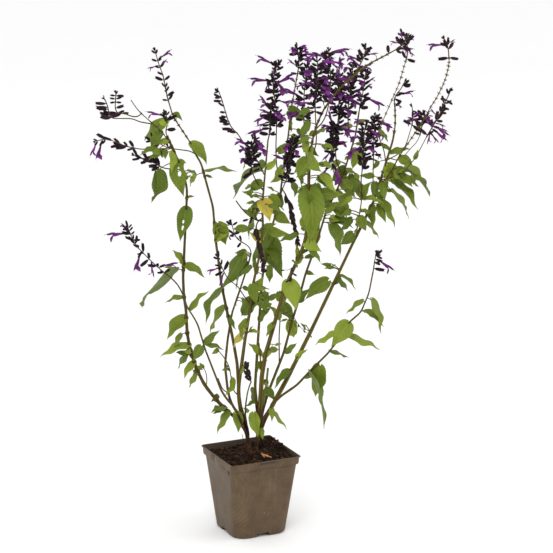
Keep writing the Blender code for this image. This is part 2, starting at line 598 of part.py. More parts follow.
def leaf_surface(foot, tip, width, bank, along, sideways):
    """Points of the blade: `along` runs 0 to 1 up the midrib and `sideways` -1 to 1 across it.

    The blade is widest a third of the way up, arches towards its normal and droops at the tip, and
    its two halves fold up from the midrib.
    """
    axis, left, normal, breadth = leaf_frame(foot, tip, width, bank)
    length = np.linalg.norm(tip - foot)
    along = np.clip(along, 0, 1)
    half = 0.5 * breadth * 2.85 * along**0.5 * (1 - along) ** 1.25
    arch = length * LEAF_ARCH * along * (1 - along) ** 1.2
    lobe = length * LEAF_LOBE * np.abs(sideways) * np.exp(-((along / 0.12) ** 2))
    return (foot + axis * (along * length - lobe)[..., None] + left * (half * sideways)[..., None]
            + normal * (arch + LEAF_FOLD * half * np.abs(sideways))[..., None])


def leaf_balls(foot, tip, width, bank):
    length = np.linalg.norm(tip - foot)
    rows = max(3, round(length / LEAF_BALL))
    columns = max(2, round(1.1 * max(width, LEAF_BROAD * length) / LEAF_BALL))
    along, sideways = np.meshgrid(np.linspace(0, 1, rows), np.linspace(-1, 1, columns))
    return leaf_surface(foot, tip, width, bank, along.ravel(), sideways.ravel())


def seat_leaves(stems, room, draws):
    """Each leaf on the stem nearest its foot, leaning to or from the viewer until it is clear."""
    seated = []
    for fx, fy, tx, ty, wide in LEAVES:
        node = min(stems, key=lambda name: np.linalg.norm(
            nearest(stems[name], (fx, fy))[0].pixels - (fx, fy), axis=1).min())
        tube, index = nearest(stems[node], (fx, fy))
        depth = tube.points[index] @ LEVEL
        span = math.hypot(tx - fx, ty - fy) * PIXEL
        first = draws.uniform(-0.7, 0.7)
        turn = int(draws.choice((-1, 1)))
        stem_point = tube.points[index]
        if stem_point[2] < PARTING_HEIGHT:
            node = "crown_" + trunk_of(node)
        for lean, bank in itertools.product((first, -first, *LEANS), (turn, -turn)):
            foot = place((fx, fy), depth + 0.10 * lean * span)[0]
            tip = place((tx, ty), depth + lean * span)[0]
            if (foot - stem_point) @ (tip - foot) < 0:
                foot = stem_point + unit(tip - stem_point) * 0.2 * MM
            balls = leaf_balls(foot, tip, wide * PIXEL, bank)
            if room.clearance(node, balls, BLADE_HALF) > BLADE_CLEAR:
                room.take(node, balls, BLADE_HALF)
                seated.append((node, stem_point, foot, tip, wide * PIXEL, bank))
                break
    return seated


def calyx_balls(foot, direction, length):
    return foot + direction * (np.array((0.35, 0.6, 0.85)) * length)[:, None]


def seat_calyces(name, spike, tube, room, draws):
    """Whorls of calyces up the spike, each pair turned a quarter from the one below."""
    along = lengths(tube.points)
    seated = []
    first = spike["start"] * along[-1]
    heights = np.arange(first, along[-1] - 2 * MM, WHORL_SPACING)
    directions = tangents(tube.points)
    for order, at in enumerate(heights):
        centre = across(np.array((at,)), along, tube.points)[0]
        up = unit(across(np.array((at,)), along, directions)[0])
        across_view = unit(np.cross(up, FORWARD))
        behind = np.cross(across_view, up)
        ripeness = 1.0 - 0.35 * (at - first) / (along[-1] - first)
        for turn in (0.0, math.pi):
            angle = turn + order * math.pi / 2 + draws.uniform(-0.5, 0.5) + 0.6
            radial = across_view * math.cos(angle) + behind * math.sin(angle)
            if spike["side"]:
                radial = unit(RIGHT * spike["side"] + radial * 0.55)
                radial = unit(radial - up * (radial @ up))
            direction = unit(radial + up * draws.uniform(0.5, 0.9))
            length = CALYX_LENGTH * ripeness
            balls = calyx_balls(centre, direction, length)
            if room.clearance(name, balls, CALYX_RADIUS) > CLEAR:
                room.take(name, balls, CALYX_RADIUS)
                seated.append((centre, direction, up, length))
    up = unit(tube.points[-1] - tube.points[-2])
    centre = tube.points[-1] - up * MM
    balls = calyx_balls(centre, up, 0.6 * CALYX_LENGTH)
    if room.clearance(name, balls, 0.5 * CALYX_RADIUS) > CLEAR:
        seated.append((centre, up, unit(np.cross(up, FORWARD)), 0.6 * CALYX_LENGTH))
    return seated


def flower_line(foot, tip, rise):
    """The middle line of a calyx and its corolla, which arches a little over a straight line."""
    part = np.linspace(0, 1, 7)[:, None]
    return foot + (tip - foot) * part + rise * 4 * part * (1 - part)


def seat_flowers(name, spike, tube, room, draws):
    """Each open flower from the spike to its pixel, towards or away from the viewer until clear."""
    seated = []
    for calyx, end in spike["flowers"]:
        index = int(np.linalg.norm(tube.pixels - calyx, axis=1).argmin())
        foot = tube.points[index]
        depth = foot @ LEVEL
        span = math.dist(calyx, end) * PIXEL
        first = draws.uniform(-0.5, 0.5)
        for lean in (first, -first, *LEANS):
            tip = place(end, depth + lean * span)[0]
            line = flower_line(foot, tip, np.array((0.0, 0.0, FLOWER_RISE * span)))
            if room.clearance(name, line[1:], FLOWER_REACH) > CLEAR:
                room.take(name, line[1:], FLOWER_REACH)
                seated.append((line, unit(tip - foot)))
                break
    return seated


def material(name, colour, roughness):
    made = bpy.data.materials.new(name)
    made.use_nodes = True
    shader = made.node_tree.nodes["Principled BSDF"]
    shader.inputs["Base Color"].default_value = (*colour, 1.0)
    shader.inputs["Roughness"].default_value = roughness
    shader.inputs["Metallic"].default_value = 0.0
    made.diffuse_color = (*colour, 1.0)
    return made


def mesh_object(name, points, faces, collection):
    mesh = bpy.data.meshes.new(name)
    mesh.from_pydata([tuple(point) for point in points], [], faces)
    made = bpy.data.objects.new(name, mesh)
    collection.objects.link(made)
    return made


def loft(name, sections, foot, tip, collection):
    """A closed body through sections of equal size, from a point at its foot to one at its tip.

    Each section runs anticlockwise as seen from the tip. The quads on both sides of a section's
    first point are split alike, so that the two faces of a thin blade never cross.
    """
    sections = np.asarray(sections)
    rows, sides = sections.shape[:2]
    points = np.vstack((sections.reshape(-1, 3), foot, tip))
    first, last = rows * sides, rows * sides + 1
    faces = []
    for side in range(sides):
        after = (side + 1) % sides
        faces.append((first, after, side))
        faces.append((last, (rows - 1) * sides + side, (rows - 1) * sides + after))
        for row in range(rows - 1):
            low, high = row * sides, (row + 1) * sides
            if side % 2:
                faces.append((low + side, low + after, high + side))
                faces.append((low + after, high + after, high + side))
            else:
                faces.append((low + side, low + after, high + after))
                faces.append((low + side, high + after, high + side))
    return mesh_object(name, points, faces, collection)


def curve_body(name, tube, collection, resolution):
    """A tube as a mesh: a bevelled curve through its points, with its caps welded on."""
    curve = bpy.data.curves.new(name, "CURVE")
    curve.dimensions = "3D"
    curve.bevel_depth = 1.0
    curve.bevel_resolution = resolution
    curve.use_fill_caps = True
    spline = curve.splines.new("POLY")
    spline.points.add(len(tube.points) - 1)
    for point, place_, radius in zip(spline.points, tube.points, tube.radii):
        point.co = (*place_, 1.0)
        point.radius = radius
    holder = bpy.data.objects.new(name, curve)
    collection.objects.link(holder)
    graph = bpy.context.evaluated_depsgraph_get()
    mesh = bpy.data.meshes.new_from_object(holder.evaluated_get(graph))
    welded = bmesh.new()
    welded.from_mesh(mesh)
    bmesh.ops.remove_doubles(welded, verts=welded.verts, dist=0.01 * MM)
    bmesh.ops.recalc_face_normals(welded, faces=welded.faces)
    welded.to_mesh(mesh)
    welded.free()
    made = bpy.data.objects.new(name, mesh)
    made.matrix_world = holder.matrix_world
    bpy.data.objects.remove(holder)
    collection.objects.link(made)
    return made


def largest_shell(mesh):
    """Keeps the outer skin of a joined body, without loose scraps and sealed hollows."""
    body = bmesh.new()
    body.from_mesh(mesh)
    left = set(body.faces)
    shells = []
    while left:
        shell = {left.pop()}
        edge = list(shell)
        while edge:
            face = edge.pop()
            for side in face.edges:
                for other in side.link_faces:
                    if other in left:
                        left.discard(other)
                        shell.add(other)
                        edge.append(other)
        shells.append(shell)
    keep = max(shells, key=lambda shell: max(v.co.z for f in shell for v in f.verts)
               - min(v.co.z for f in shell for v in f.verts) + len(shell) * 1e-3)
    loose = [face for face in body.faces if face not in keep]
    bmesh.ops.delete(body, geom=loose, context="FACES")
    body.to_mesh(mesh)
    body.free()


def fused(name, pieces, finish, collection):
    """One closed body from the pieces of a node, joined by a union."""
    base, *others = pieces
    helpers = bpy.data.collections.new(name + "_pieces")
    bpy.context.scene.collection.children.link(helpers)
    for piece in others:
        piece.users_collection[0].objects.unlink(piece)
        helpers.objects.link(piece)
    if others:
        join = base.modifiers.new("Join", "BOOLEAN")
        join.operation = "UNION"
        join.operand_type = "COLLECTION"
        join.collection = helpers
        join.solver = "MANIFOLD"
    graph = bpy.context.evaluated_depsgraph_get()
    mesh = bpy.data.meshes.new_from_object(base.evaluated_get(graph))
    for piece in pieces:
        bpy.data.objects.remove(piece)
    bpy.data.collections.remove(helpers)
    largest_shell(mesh)
    mesh.materials.clear()
    mesh.materials.append(finish)
    mesh.shade_smooth()
    mesh.set_sharp_from_angle(angle=math.radians(40))
    mesh.name = name
    made = bpy.data.objects.new(name, mesh)
    collection.objects.link(made)
    return made


def blade(name, stem_point, foot, tip, width, bank, collection):
    """A leaf with its stalk: lens-shaped sections from inside the stem to the leaf's tip.

    The edge steps out and in from row to row, as teeth, and the midrib is the thickest line.
    """
    length = np.linalg.norm(tip - foot)
    rows = 6 if length > LONG_LEAF else 4 if length > MIDDLE_LEAF else 2
    along = np.linspace(0.08, 0.80 if rows > 2 else 0.5, rows)
    teeth = np.where(np.arange(rows) % 2, TOOTH_OUT, TOOTH_IN)
    axis, side, normal, _ = leaf_frame(foot, tip, width, bank)
    offset = normal * (0.5 * RIB_THICK)
    left = leaf_surface(foot, tip, width, bank, along, teeth)
    rib = leaf_surface(foot, tip, width, bank, along, np.zeros(rows))
    right = leaf_surface(foot, tip, width, bank, along, -teeth)
    sections = [np.stack(row) for row in zip(left, rib + offset, right, rib - offset)]
    reach = np.linalg.norm(foot - stem_point)
    if reach > SHORT_STALK:
        stalk = (foot - stem_point) / reach
        for centre, line in ((foot, unit(stalk + axis)), (stem_point + stalk * 0.2 * MM, stalk)):
            across_stalk = unit(np.cross(normal, line))
            up = np.cross(line, across_stalk)
            sections.insert(0, ring(centre, across_stalk, up, STALK_RADIUS, STALK_RADIUS))
    return loft(name, sections, stem_point, tip, collection)


def ring(centre, left, up, wide, high):
    return np.array((centre + left * wide, centre + up * high, centre - left * wide, centre - up * high))


def calyx(name, foot, direction, up, length, collection):
    """A calyx: a three-sided bell from a narrow foot in the spike to its wide mouth."""
    left = unit(np.cross(up, direction))
    above = np.cross(direction, left)
    wide = CALYX_RADIUS * length / CALYX_LENGTH
    angles = np.arange(3) * 2 * math.pi / 3 + math.pi / 2
    rim = foot + wide * (np.cos(angles)[:, None] * left + np.sin(angles)[:, None] * above)
    reach = np.array((1.0, 0.72, 0.72))[:, None] * length
    return mesh_object(name, (foot, *(rim + direction * reach)),
                       ((0, 2, 1), (0, 3, 2), (0, 1, 3), (1, 2, 3)), collection)


def corolla(name, line, direction, collection):
    """An open flower in one body: calyx, narrower tube, wide throat and two parted lips.

    The sections have four points each. The upper lip closes the throat's upper half to a point, the
    lower lip its lower half, and the mouth between them meets at the line across the throat.
    """
    left = unit(np.cross(np.array((0.0, 0.0, 1.0)), direction))
    above = np.cross(direction, left)
    length = lengths(line)[-1]
    places = across(np.array((0.24, 0.40, 0.76)), np.linspace(0, 1, len(line)), line)
    wide = np.array((1.2, 0.85, 1.45)) * COROLLA_RADIUS
    sections = np.array([ring(centre, left, above, size, size) for centre, size in zip(places, wide)])
    upper = line[-1] + above * 1.0 * COROLLA_RADIUS
    lower = places[2] + direction * 0.14 * length - above * 0.24 * length
    points = np.vstack((sections.reshape(-1, 3), line[0], upper, lower))
    sides = np.arange(4)
    after = (sides + 1) % 4
    faces = [(12, *pair) for pair in zip(after, sides)]
    for low, high in ((0, 4), (4, 8)):
        faces += list(zip(low + sides, low + after, high + after))
        faces += list(zip(low + sides, high + after, high + sides))
    faces += [(8, 9, 13), (9, 10, 13), (10, 11, 14), (11, 8, 14), (8, 13, 10), (8, 10, 14)]
    return mesh_object(name, points, [tuple(int(corner) for corner in face) for face in faces], collection)


def rounded_square(side, corner, z, steps=3):
    """A square of the given side with round corners, anticlockwise from above."""
    angles = np.linspace(0, math.pi / 2, steps)
    points = []
    for turn in range(4):
        start = turn * math.pi / 2
        middle = start + math.pi / 4
        reach = (side / 2 - corner) * math.sqrt(2)
        centre = np.array((math.cos(middle), math.sin(middle))) * reach
        for angle in angles:
            x, y = centre + corner * np.array((math.cos(start + angle), math.sin(start + angle)))
            points.append((x, y, z))
    return np.array(points)


def pot_side(z):
    """The pot's outer side and corner radius at a height, below the collar."""
    part = z / (POT_HEIGHT - COLLAR_HEIGHT)
    side = POT_BASE + (POT_TOP - NECK_IN - POT_BASE) * part
    return side, BASE_CORNER + (NECK_CORNER - BASE_CORNER) * part


def pot_loft(name, inset, bottom, collection):
    """The pot's outside, or the same form a wall's thickness inside it, from the base up."""
    sections = []
    for rise, tuck in ((0.0, 1.0), (0.3, 0.3), (1.0, 0.0)):
        z = bottom + rise * BASE_EDGE
        side, corner = pot_side(z)
        sections.append(rounded_square(side - 2 * (tuck * BASE_EDGE + inset), corner - inset, z))
    side, corner = pot_side(POT_HEIGHT - COLLAR_HEIGHT)
    sections.append(rounded_square(side - 2 * inset, corner - inset, POT_HEIGHT - COLLAR_HEIGHT))
    if inset:
        side = POT_TOP - 2 * (inset + 0.001)
        sections.append(rounded_square(side, TOP_CORNER - 0.002, POT_HEIGHT + 0.01))
    else:
        collar = POT_HEIGHT - COLLAR_HEIGHT + 0.001
        collar_side = POT_TOP - NECK_IN + 2 * COLLAR_PROUD
        sections.append(rounded_square(collar_side, 0.008, collar))
        sections.append(rounded_square(collar_side + 0.001, 0.007, POT_HEIGHT - LIP_HEIGHT - 0.0006))
        sections.append(rounded_square(POT_TOP, TOP_CORNER, POT_HEIGHT - LIP_HEIGHT))
        sections.append(rounded_square(POT_TOP, TOP_CORNER, POT_HEIGHT))
    top = (0.0, 0.0, sections[-1][0][2])
    return loft(name, sections, (0.0, 0.0, bottom), top, collection)


def box(name, low, high, collection):
    bpy.ops.mesh.primitive_cube_add(size=1.0)
    made = bpy.context.object
    made.name = name
    low, high = np.array(low), np.array(high)
    points = np.array([vertex.co for vertex in made.data.vertices])
    made.data.vertices.foreach_set("co", ((low + high) / 2 + points * (high - low)).ravel())
    made.users_collection[0].objects.unlink(made)
    collection.objects.link(made)
    made.hide_render = True
    made.display_type = "WIRE"
    return made


def cylinder(name, radius, low, high, centre, collection, sides=10):
    bpy.ops.mesh.primitive_cylinder_add(
        radius=radius, depth=high - low, vertices=sides, location=(*centre, (low + high) / 2))
    made = bpy.context.object
    made.name = name
    made.users_collection[0].objects.unlink(made)
    collection.objects.link(made)
    made.hide_render = True
    made.display_type = "WIRE"
    return made


def carve(target, cutters):
    """Cuts each cutter from the target, as EXACT Booleans that stay on it."""
    for cutter in cutters:
        cut = target.modifiers.new(cutter.name, "BOOLEAN")
        cut.operation = "DIFFERENCE"
        cut.object = cutter
        cut.solver = "EXACT"


def arches(label, grow, collection):
    """The four low channels under the base, one from the middle of each side."""
    half, top = ARCH_WIDTH / 2 + grow, ARCH_HEIGHT + grow
    outer, inner = POT_BASE, POT_BASE / 2 - ARCH_REACH - grow
    spans = (((-half, -outer), (half, -inner)), ((-half, inner), (half, outer)),
             ((-outer, -half), (-inner, half)), ((inner, -half), (outer, half)))
    return [box(f"{label}_arch_{number}", (*low, -0.01), (*high, top), collection)
            for number, (low, high) in enumerate(spans)]


def set_finish(made, finish, smooth_angle=40):
    made.data.materials.clear()
    made.data.materials.append(finish)
    made.data.shade_smooth()
    made.data.set_sharp_from_angle(angle=math.radians(smooth_angle))


def make_pot(collection, cutters):
    """The pot: outer form less its arches, less the inner form less its arches, and drain holes."""
    pot = pot_loft("pot", 0.0, 0.0, collection)
    carve(pot, arches("outside", 0.0, cutters))
    inside = pot_loft("pot_inside", POT_WALL, POT_WALL, cutters)
    inside.hide_render = True
    inside.display_type = "WIRE"
    carve(inside, arches("inside", POT_WALL, cutters))
    drains = []
    for x, y in itertools.product((-DRAIN_PLACE, DRAIN_PLACE), repeat=2):
        drains.append(cylinder("drain", DRAIN_RADIUS, -0.01, 0.01, (x, y), cutters))
    left, right, deep = NOTCH
    notch = box("collar_notch", (left, -POT_TOP, POT_HEIGHT - COLLAR_HEIGHT - 0.002),
                (right, deep - POT_TOP / 2, POT_HEIGHT - LIP_HEIGHT - 0.0008), cutters)
    carve(pot, [inside, *drains, notch])
    set_finish(pot, material("pot_plastic", POT_TAUPE, 0.6))
    return pot


def soil_height(x, y):
    """The height of the soil: a low mound at the crown, heaped at the back right corner."""
    spread = np.sqrt(x**2 + y**2) / (POT_TOP / 2)
    heap = np.exp(-(((x - 0.030) / 0.020) ** 2 + ((y - 0.036) / 0.014) ** 2))
    ripple = np.sin(x * 310 + 1.3) * np.sin(y * 270 + 0.4) + 0.6 * np.sin(x * 610 + y * 520)
    return SOIL_TOP - 0.001 + SOIL_MOUND * np.exp(-3 * spread**2) + 0.006 * heap + 0.0007 * ripple


def make_soil(collection, cutters, holes):
    """The soil: it fills the pot 0.3 mm from its wall, with holes where the crown stands."""
    inset = POT_WALL + GAP
    sections = []
    floor = POT_WALL + GAP
    for rise, tuck in ((0.0, 1.0), (0.3, 0.3), (1.0, 0.0)):
        z = floor + rise * BASE_EDGE
        side, corner = pot_side(z)
        sections.append(rounded_square(side - 2 * (tuck * BASE_EDGE + inset), corner - inset, z))
    side, corner = pot_side(SOIL_TOP - 0.005)
    rim = rounded_square(side - 2 * inset - 0.0006, corner - inset, SOIL_TOP)
    for shrink in (1.0, 0.8, 0.55, 0.3):
        top = rim.copy()
        top[:, :2] *= shrink
        top[:, 2] = soil_height(top[:, 0], top[:, 1])
        sections.append(top)
    middle = (0.0, 0.0, float(soil_height(np.array(0.0), np.array(0.0))))
    soil = loft("soil", sections, (0.0, 0.0, floor), middle, collection)
    carve(soil, arches("soil", inset, cutters))
    carve(soil, holes)
    set_finish(soil, material("potting_soil", SOIL_BROWN, 0.95))
    return soil


def make_chip(collection):
    """A pale chip of bark, 13 mm long, that lies on the soil near the front."""
    foot, tip = place(((258, 462), (270, 454)), np.array((-0.016, -0.030)))
    middle = (foot + tip) / 2
    x, y, _ = middle
    rise = float(soil_height(np.array(x), np.array(y))) + CHIP_RISE
    foot[2] = tip[2] = middle[2] = rise
    axis = unit(tip - foot)
    left = np.cross((0.0, 0.0, 1.0), axis)
    up = np.array((0.0, 0.0, 1.0))
    shape = ((-0.0055, 0.0022, 0.0010), (0.0, 0.0034, 0.0015), (0.005, 0.0026, 0.0011))
    sections = [ring(middle + axis * at, left, up, wide, high) for at, wide, high in shape]
    chip = loft("bark_chip", sections, middle - axis * 0.0070, middle + axis * 0.0068, collection)
    set_finish(chip, material("bark", CHIP_TAN, 0.85))
    return chip


def lay_out():
    """Every stem, spike, leaf, calyx and flower in its place, all clear of one another."""
    room = Room()
    draws = np.random.default_rng(SEED)
    stems, spikes = {}, {}
    trunks = {side: trunk_tube(side) for side in TRUNKS}
    for side, trunk in trunks.items():
        take_tube(room, "crown_" + side, trunk)
    for name, stem in STEMS.items():
        stems[name] = [rooted(stem_tube(stem), trunks[trunk_of(name)]).straight()]
    for name, route, away, radius in SHOOTS:
        shoot, _, _ = branch_tube(stems[name], route, away, (radius * MM, 0.8 * radius * MM))
        stems[name].append(shoot)
    for name, tubes in stems.items():
        parting = tubes[0].parting()
        take_tube(room, "crown_" + trunk_of(name), tubes[0].part(0.0, parting))
        take_tube(room, name, tubes[0].part(parting, lengths(tubes[0].points)[-1]))
        for tube in tubes[1:]:
            take_tube(room, name, tube)
    for name, spike in SPIKES.items():
        tube, parent, index = branch_tube(
            stems[spike["stem"]], spike["route"], spike["away"], (SPIKE_FOOT, SPIKE_TIP))
        spikes[name] = start_clear(tube, parent, index)
        take_tube(room, name, spikes[name])
    flowers = {name: seat_flowers(name, SPIKES[name], tube, room, draws) for name, tube in spikes.items()}
    leaves = seat_leaves(stems, room, draws)
    calyces = {name: seat_calyces(name, SPIKES[name], tube, room, draws) for name, tube in spikes.items()}
    return trunks, stems, spikes, flowers, leaves, calyces


def start_clear(tube, parent, index):
    """The tube from where it clears its parent by 0.3 mm: at the parent's cut end or its side."""
    along = lengths(tube.points)
    if index == len(parent.points) - 1:
        straight_on = unit(parent.points[-1] - parent.points[-2])
        lean = math.acos(unit(tube.points[1] - tube.points[0]) @ straight_on)
        return tube.part((GAP + tube.radii[0] * math.sin(lean)) / math.cos(lean), along[-1])
    at = np.arange(0.0, along[-1], 0.1 * MM)
    points = across(at, along, tube.points)
    directions = tangents(points)
    fan = points[:, None] - parent.points[None]
    close = np.linalg.norm(fan, axis=2).argmin(axis=1)
    away = np.empty(len(at))
    for number, (point, direction, sample) in enumerate(zip(points, directions, close)):
        low, high = max(0, sample - 1), min(len(parent.points) - 1, sample + 1)
        line = unit(parent.points[high] - parent.points[low])
        out = point - parent.points[sample]
        out = out - line * (out @ line)
        reach = np.linalg.norm(out)
        lean = (direction @ out) / max(reach, 1e-9)
        sloped = math.sqrt(max(0.0, 1 - lean**2))
        away[number] = reach - parent.radii[sample] - SPIKE_FOOT * sloped
    clear = at[np.argmax(away > GAP)]
    return tube.part(clear, along[-1])


def make_crown(side, trunk, stems, leaves, collection, finish):
    """One woody trunk of the crown, with the stub of each stem that grows from it and its leaves."""
    name = "crown_" + side
    pieces = [curve_body("trunk_" + side, trunk, collection, 2)]
    for number, leaf in enumerate(leaf for leaf in leaves if leaf[0] == name):
        pieces.append(blade(f"{name}_leaf_{number}", *leaf[1:], collection))
    for stem, (tube, *_) in stems.items():
        if trunk_of(stem) == side:
            stub = tube.part(0.0, tube.parting()).straightened(STRAIGHT)
            pieces.append(curve_body(stem + "_stub", stub, collection, 0))
    return fused(name, pieces, finish, collection)


def trunk_of(stem_name):
    return "left" if STEMS[stem_name]["route"][0][0] < TRUNK_SPLIT else "right"


def make_stems(stems, leaves, collection, finishes):
    for name, (tube, *shoots) in stems.items():
        length = lengths(tube.points)[-1]
        main = tube.part(tube.parting() + GAP, length).straightened(STRAIGHT)
        pieces = [curve_body(name, main, collection, 0)]
        for number, shoot in enumerate(shoots):
            pieces.append(curve_body(f"{name}_shoot_{number}", shoot.straightened(STRAIGHT), collection, 0))
        mine = [leaf for leaf in leaves if leaf[0] == name]
        for number, leaf in enumerate(mine):
            pieces.append(blade(f"{name}_leaf_{number}", *leaf[1:], collection))
        fused(name, pieces, finishes[name], collection)


def make_spikes(spikes, flowers, calyces, collection, live, dead):
    for name, tube in spikes.items():
        pieces = [curve_body(name, tube.straightened(STRAIGHT), collection, 0)]
        for number, (line, direction) in enumerate(flowers[name]):
            pieces.append(corolla(f"{name}_flower_{number}", line, direction, collection))
        for number, (foot, direction, up, length) in enumerate(calyces[name]):
            pieces.append(calyx(f"{name}_calyx_{number}", foot, direction, up, length, collection))
        fused(name, pieces, dead if "dead" in name else live, collection)


def new_collection(name):
    made = bpy.data.collections.new(name)
    bpy.context.scene.collection.children.link(made)
    return made


def main():
    for old in list(bpy.data.objects):
        bpy.data.objects.remove(old)
    plant = new_collection("perennial_salvia")
    cutters = new_collection("cutters")
    cutters.hide_render = True
    trunks, stems, spikes, flowers, leaves, calyces = lay_out()
    make_pot(plant, cutters)
    holes = []
    for side, trunk in trunks.items():
        x, y, floor = trunk.points[0]
        holes.append(cylinder("hole_" + side, CROWN_HOLE, floor - GAP, 0.2, (x, y), cutters))
    make_soil(plant, cutters, holes)
    make_chip(plant)
    bark = material("stem_bark", STEM_BROWN, 0.7)
    for side, trunk in trunks.items():
        make_crown(side, trunk, stems, leaves, plant, bark)
    olive = material("stem_olive", STEM_OLIVE, 0.65)
    green = material("stem_green", STEM_GREEN, 0.6)
    grey = material("stem_dry", STEM_GREY, 0.85)
    finishes = dict.fromkeys(stems, olive)
    finishes["stem_green_cut"] = green
    finishes["stem_dead_thin"] = grey
    make_stems(stems, leaves, plant, finishes)
    live = material("calyx_purple", SPIKE_PURPLE, 0.6)
    dead = material("dead_calyx", SPIKE_DEAD, 0.9)
    make_spikes(spikes, flowers, calyces, plant, live, dead)


main()
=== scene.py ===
"""The finished look of a potted perennial salvia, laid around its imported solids.

The stems, leaves and spikes follow the same lay-out as the solids: each point is a pixel of the
photograph and a distance behind the pot's axis. Every stem, leaf, calyx and flower is then worked
out as a fine surface that stands for the plain solid of its node.
"""

import itertools
import math

import bpy
import numpy as np
from mathutils import Matrix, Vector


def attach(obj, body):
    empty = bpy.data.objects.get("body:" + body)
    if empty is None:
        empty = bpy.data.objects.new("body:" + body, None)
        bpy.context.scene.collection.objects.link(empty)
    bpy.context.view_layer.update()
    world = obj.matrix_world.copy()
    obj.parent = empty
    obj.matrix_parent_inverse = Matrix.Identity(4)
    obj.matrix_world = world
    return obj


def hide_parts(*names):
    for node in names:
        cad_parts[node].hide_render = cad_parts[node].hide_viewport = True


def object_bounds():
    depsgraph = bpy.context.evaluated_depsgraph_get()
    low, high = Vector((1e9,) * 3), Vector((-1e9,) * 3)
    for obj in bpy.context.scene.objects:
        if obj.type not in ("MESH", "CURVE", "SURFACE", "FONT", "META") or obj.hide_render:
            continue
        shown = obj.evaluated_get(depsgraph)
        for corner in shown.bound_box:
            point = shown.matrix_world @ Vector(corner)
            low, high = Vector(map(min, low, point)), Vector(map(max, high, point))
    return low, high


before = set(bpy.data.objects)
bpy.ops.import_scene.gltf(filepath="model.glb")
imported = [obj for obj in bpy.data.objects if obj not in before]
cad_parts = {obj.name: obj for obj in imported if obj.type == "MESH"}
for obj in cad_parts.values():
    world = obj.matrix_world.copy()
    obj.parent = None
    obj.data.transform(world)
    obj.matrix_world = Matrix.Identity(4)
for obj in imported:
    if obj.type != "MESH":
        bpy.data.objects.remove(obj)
CAD_BOX = [list(corner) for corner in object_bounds()]

MM = 0.001

# The pot.
POT_HEIGHT = 0.120
POT_TOP = 0.110
POT_BASE = 0.085
POT_WALL = 0.0015
LIP_HEIGHT = 0.0014
COLLAR_HEIGHT = 0.0125
COLLAR_PROUD = 0.0014
TOP_CORNER = 0.005
BASE_CORNER = 0.020
BASE_EDGE = 0.004
ARCH_WIDTH = 0.020
ARCH_HEIGHT = 0.006
NECK_IN = 0.0055
NECK_CORNER = 0.009
NOTCH = (-0.010, 0.015)

# The soil, and what stands in it.
GAP = 0.0003
SOIL_TOP = 0.112
SOIL_MOUND = 0.007

# The plant.
PARTING_HEIGHT = 0.187
LEAF_BROAD = 0.50
LEAF_ARCH = 0.34
LEAF_FOLD = 0.22
LEAF_LOBE = 0.07
LEAF_BALL = 0.0022
BLADE_HALF = 0.0005
SPIKE_FOOT = 0.0009
SPIKE_TIP = 0.0006
CALYX_LENGTH = 0.0130
FLOWER_REACH = 0.0022
FLOWER_RISE = 0.05
SLACK = 0.0008
CLEAR = 0.0012
BLADE_CLEAR = 0.0030
LEANS = (0.0, 0.4, -0.4, 0.8, -0.8, 1.2, -1.2, 1.6, -1.6, 2.0, -2.0)
SEED = 7

# The line of sight of the photograph: where it looks from, and the pixel where the middle of the
# pot's rim lies.
SIGHT_AZIMUTH = math.radians(-25.2)
SIGHT_ELEVATION = math.radians(15.16)
SIGHT_DISTANCE = 4.5
SIGHT_LENGTH = 3076.0
SIGHT_CENTRE = 276.5
RIM_PIXEL = (250.75, 450.5)
PIXEL = SIGHT_DISTANCE / SIGHT_LENGTH
PIXEL_STEP = 3.0

# The trunks of the crown: pixels across and down, and mm behind the pot's axis.
TRUNKS = {
    "left": ((250, 462, -4), (250, 455, -4), (249, 445, -4), (247, 434, -3), (244, 423, -2)),
    "right": ((256, 463, 4), (256, 456, 4), (256.5, 445, 4), (258.5, 431, 3), (259.5, 415, 2)),
}
TRUNK_RADIUS = 0.0034
TRUNK_SPLIT = 252.0
ROOTED_BELOW = 0.008

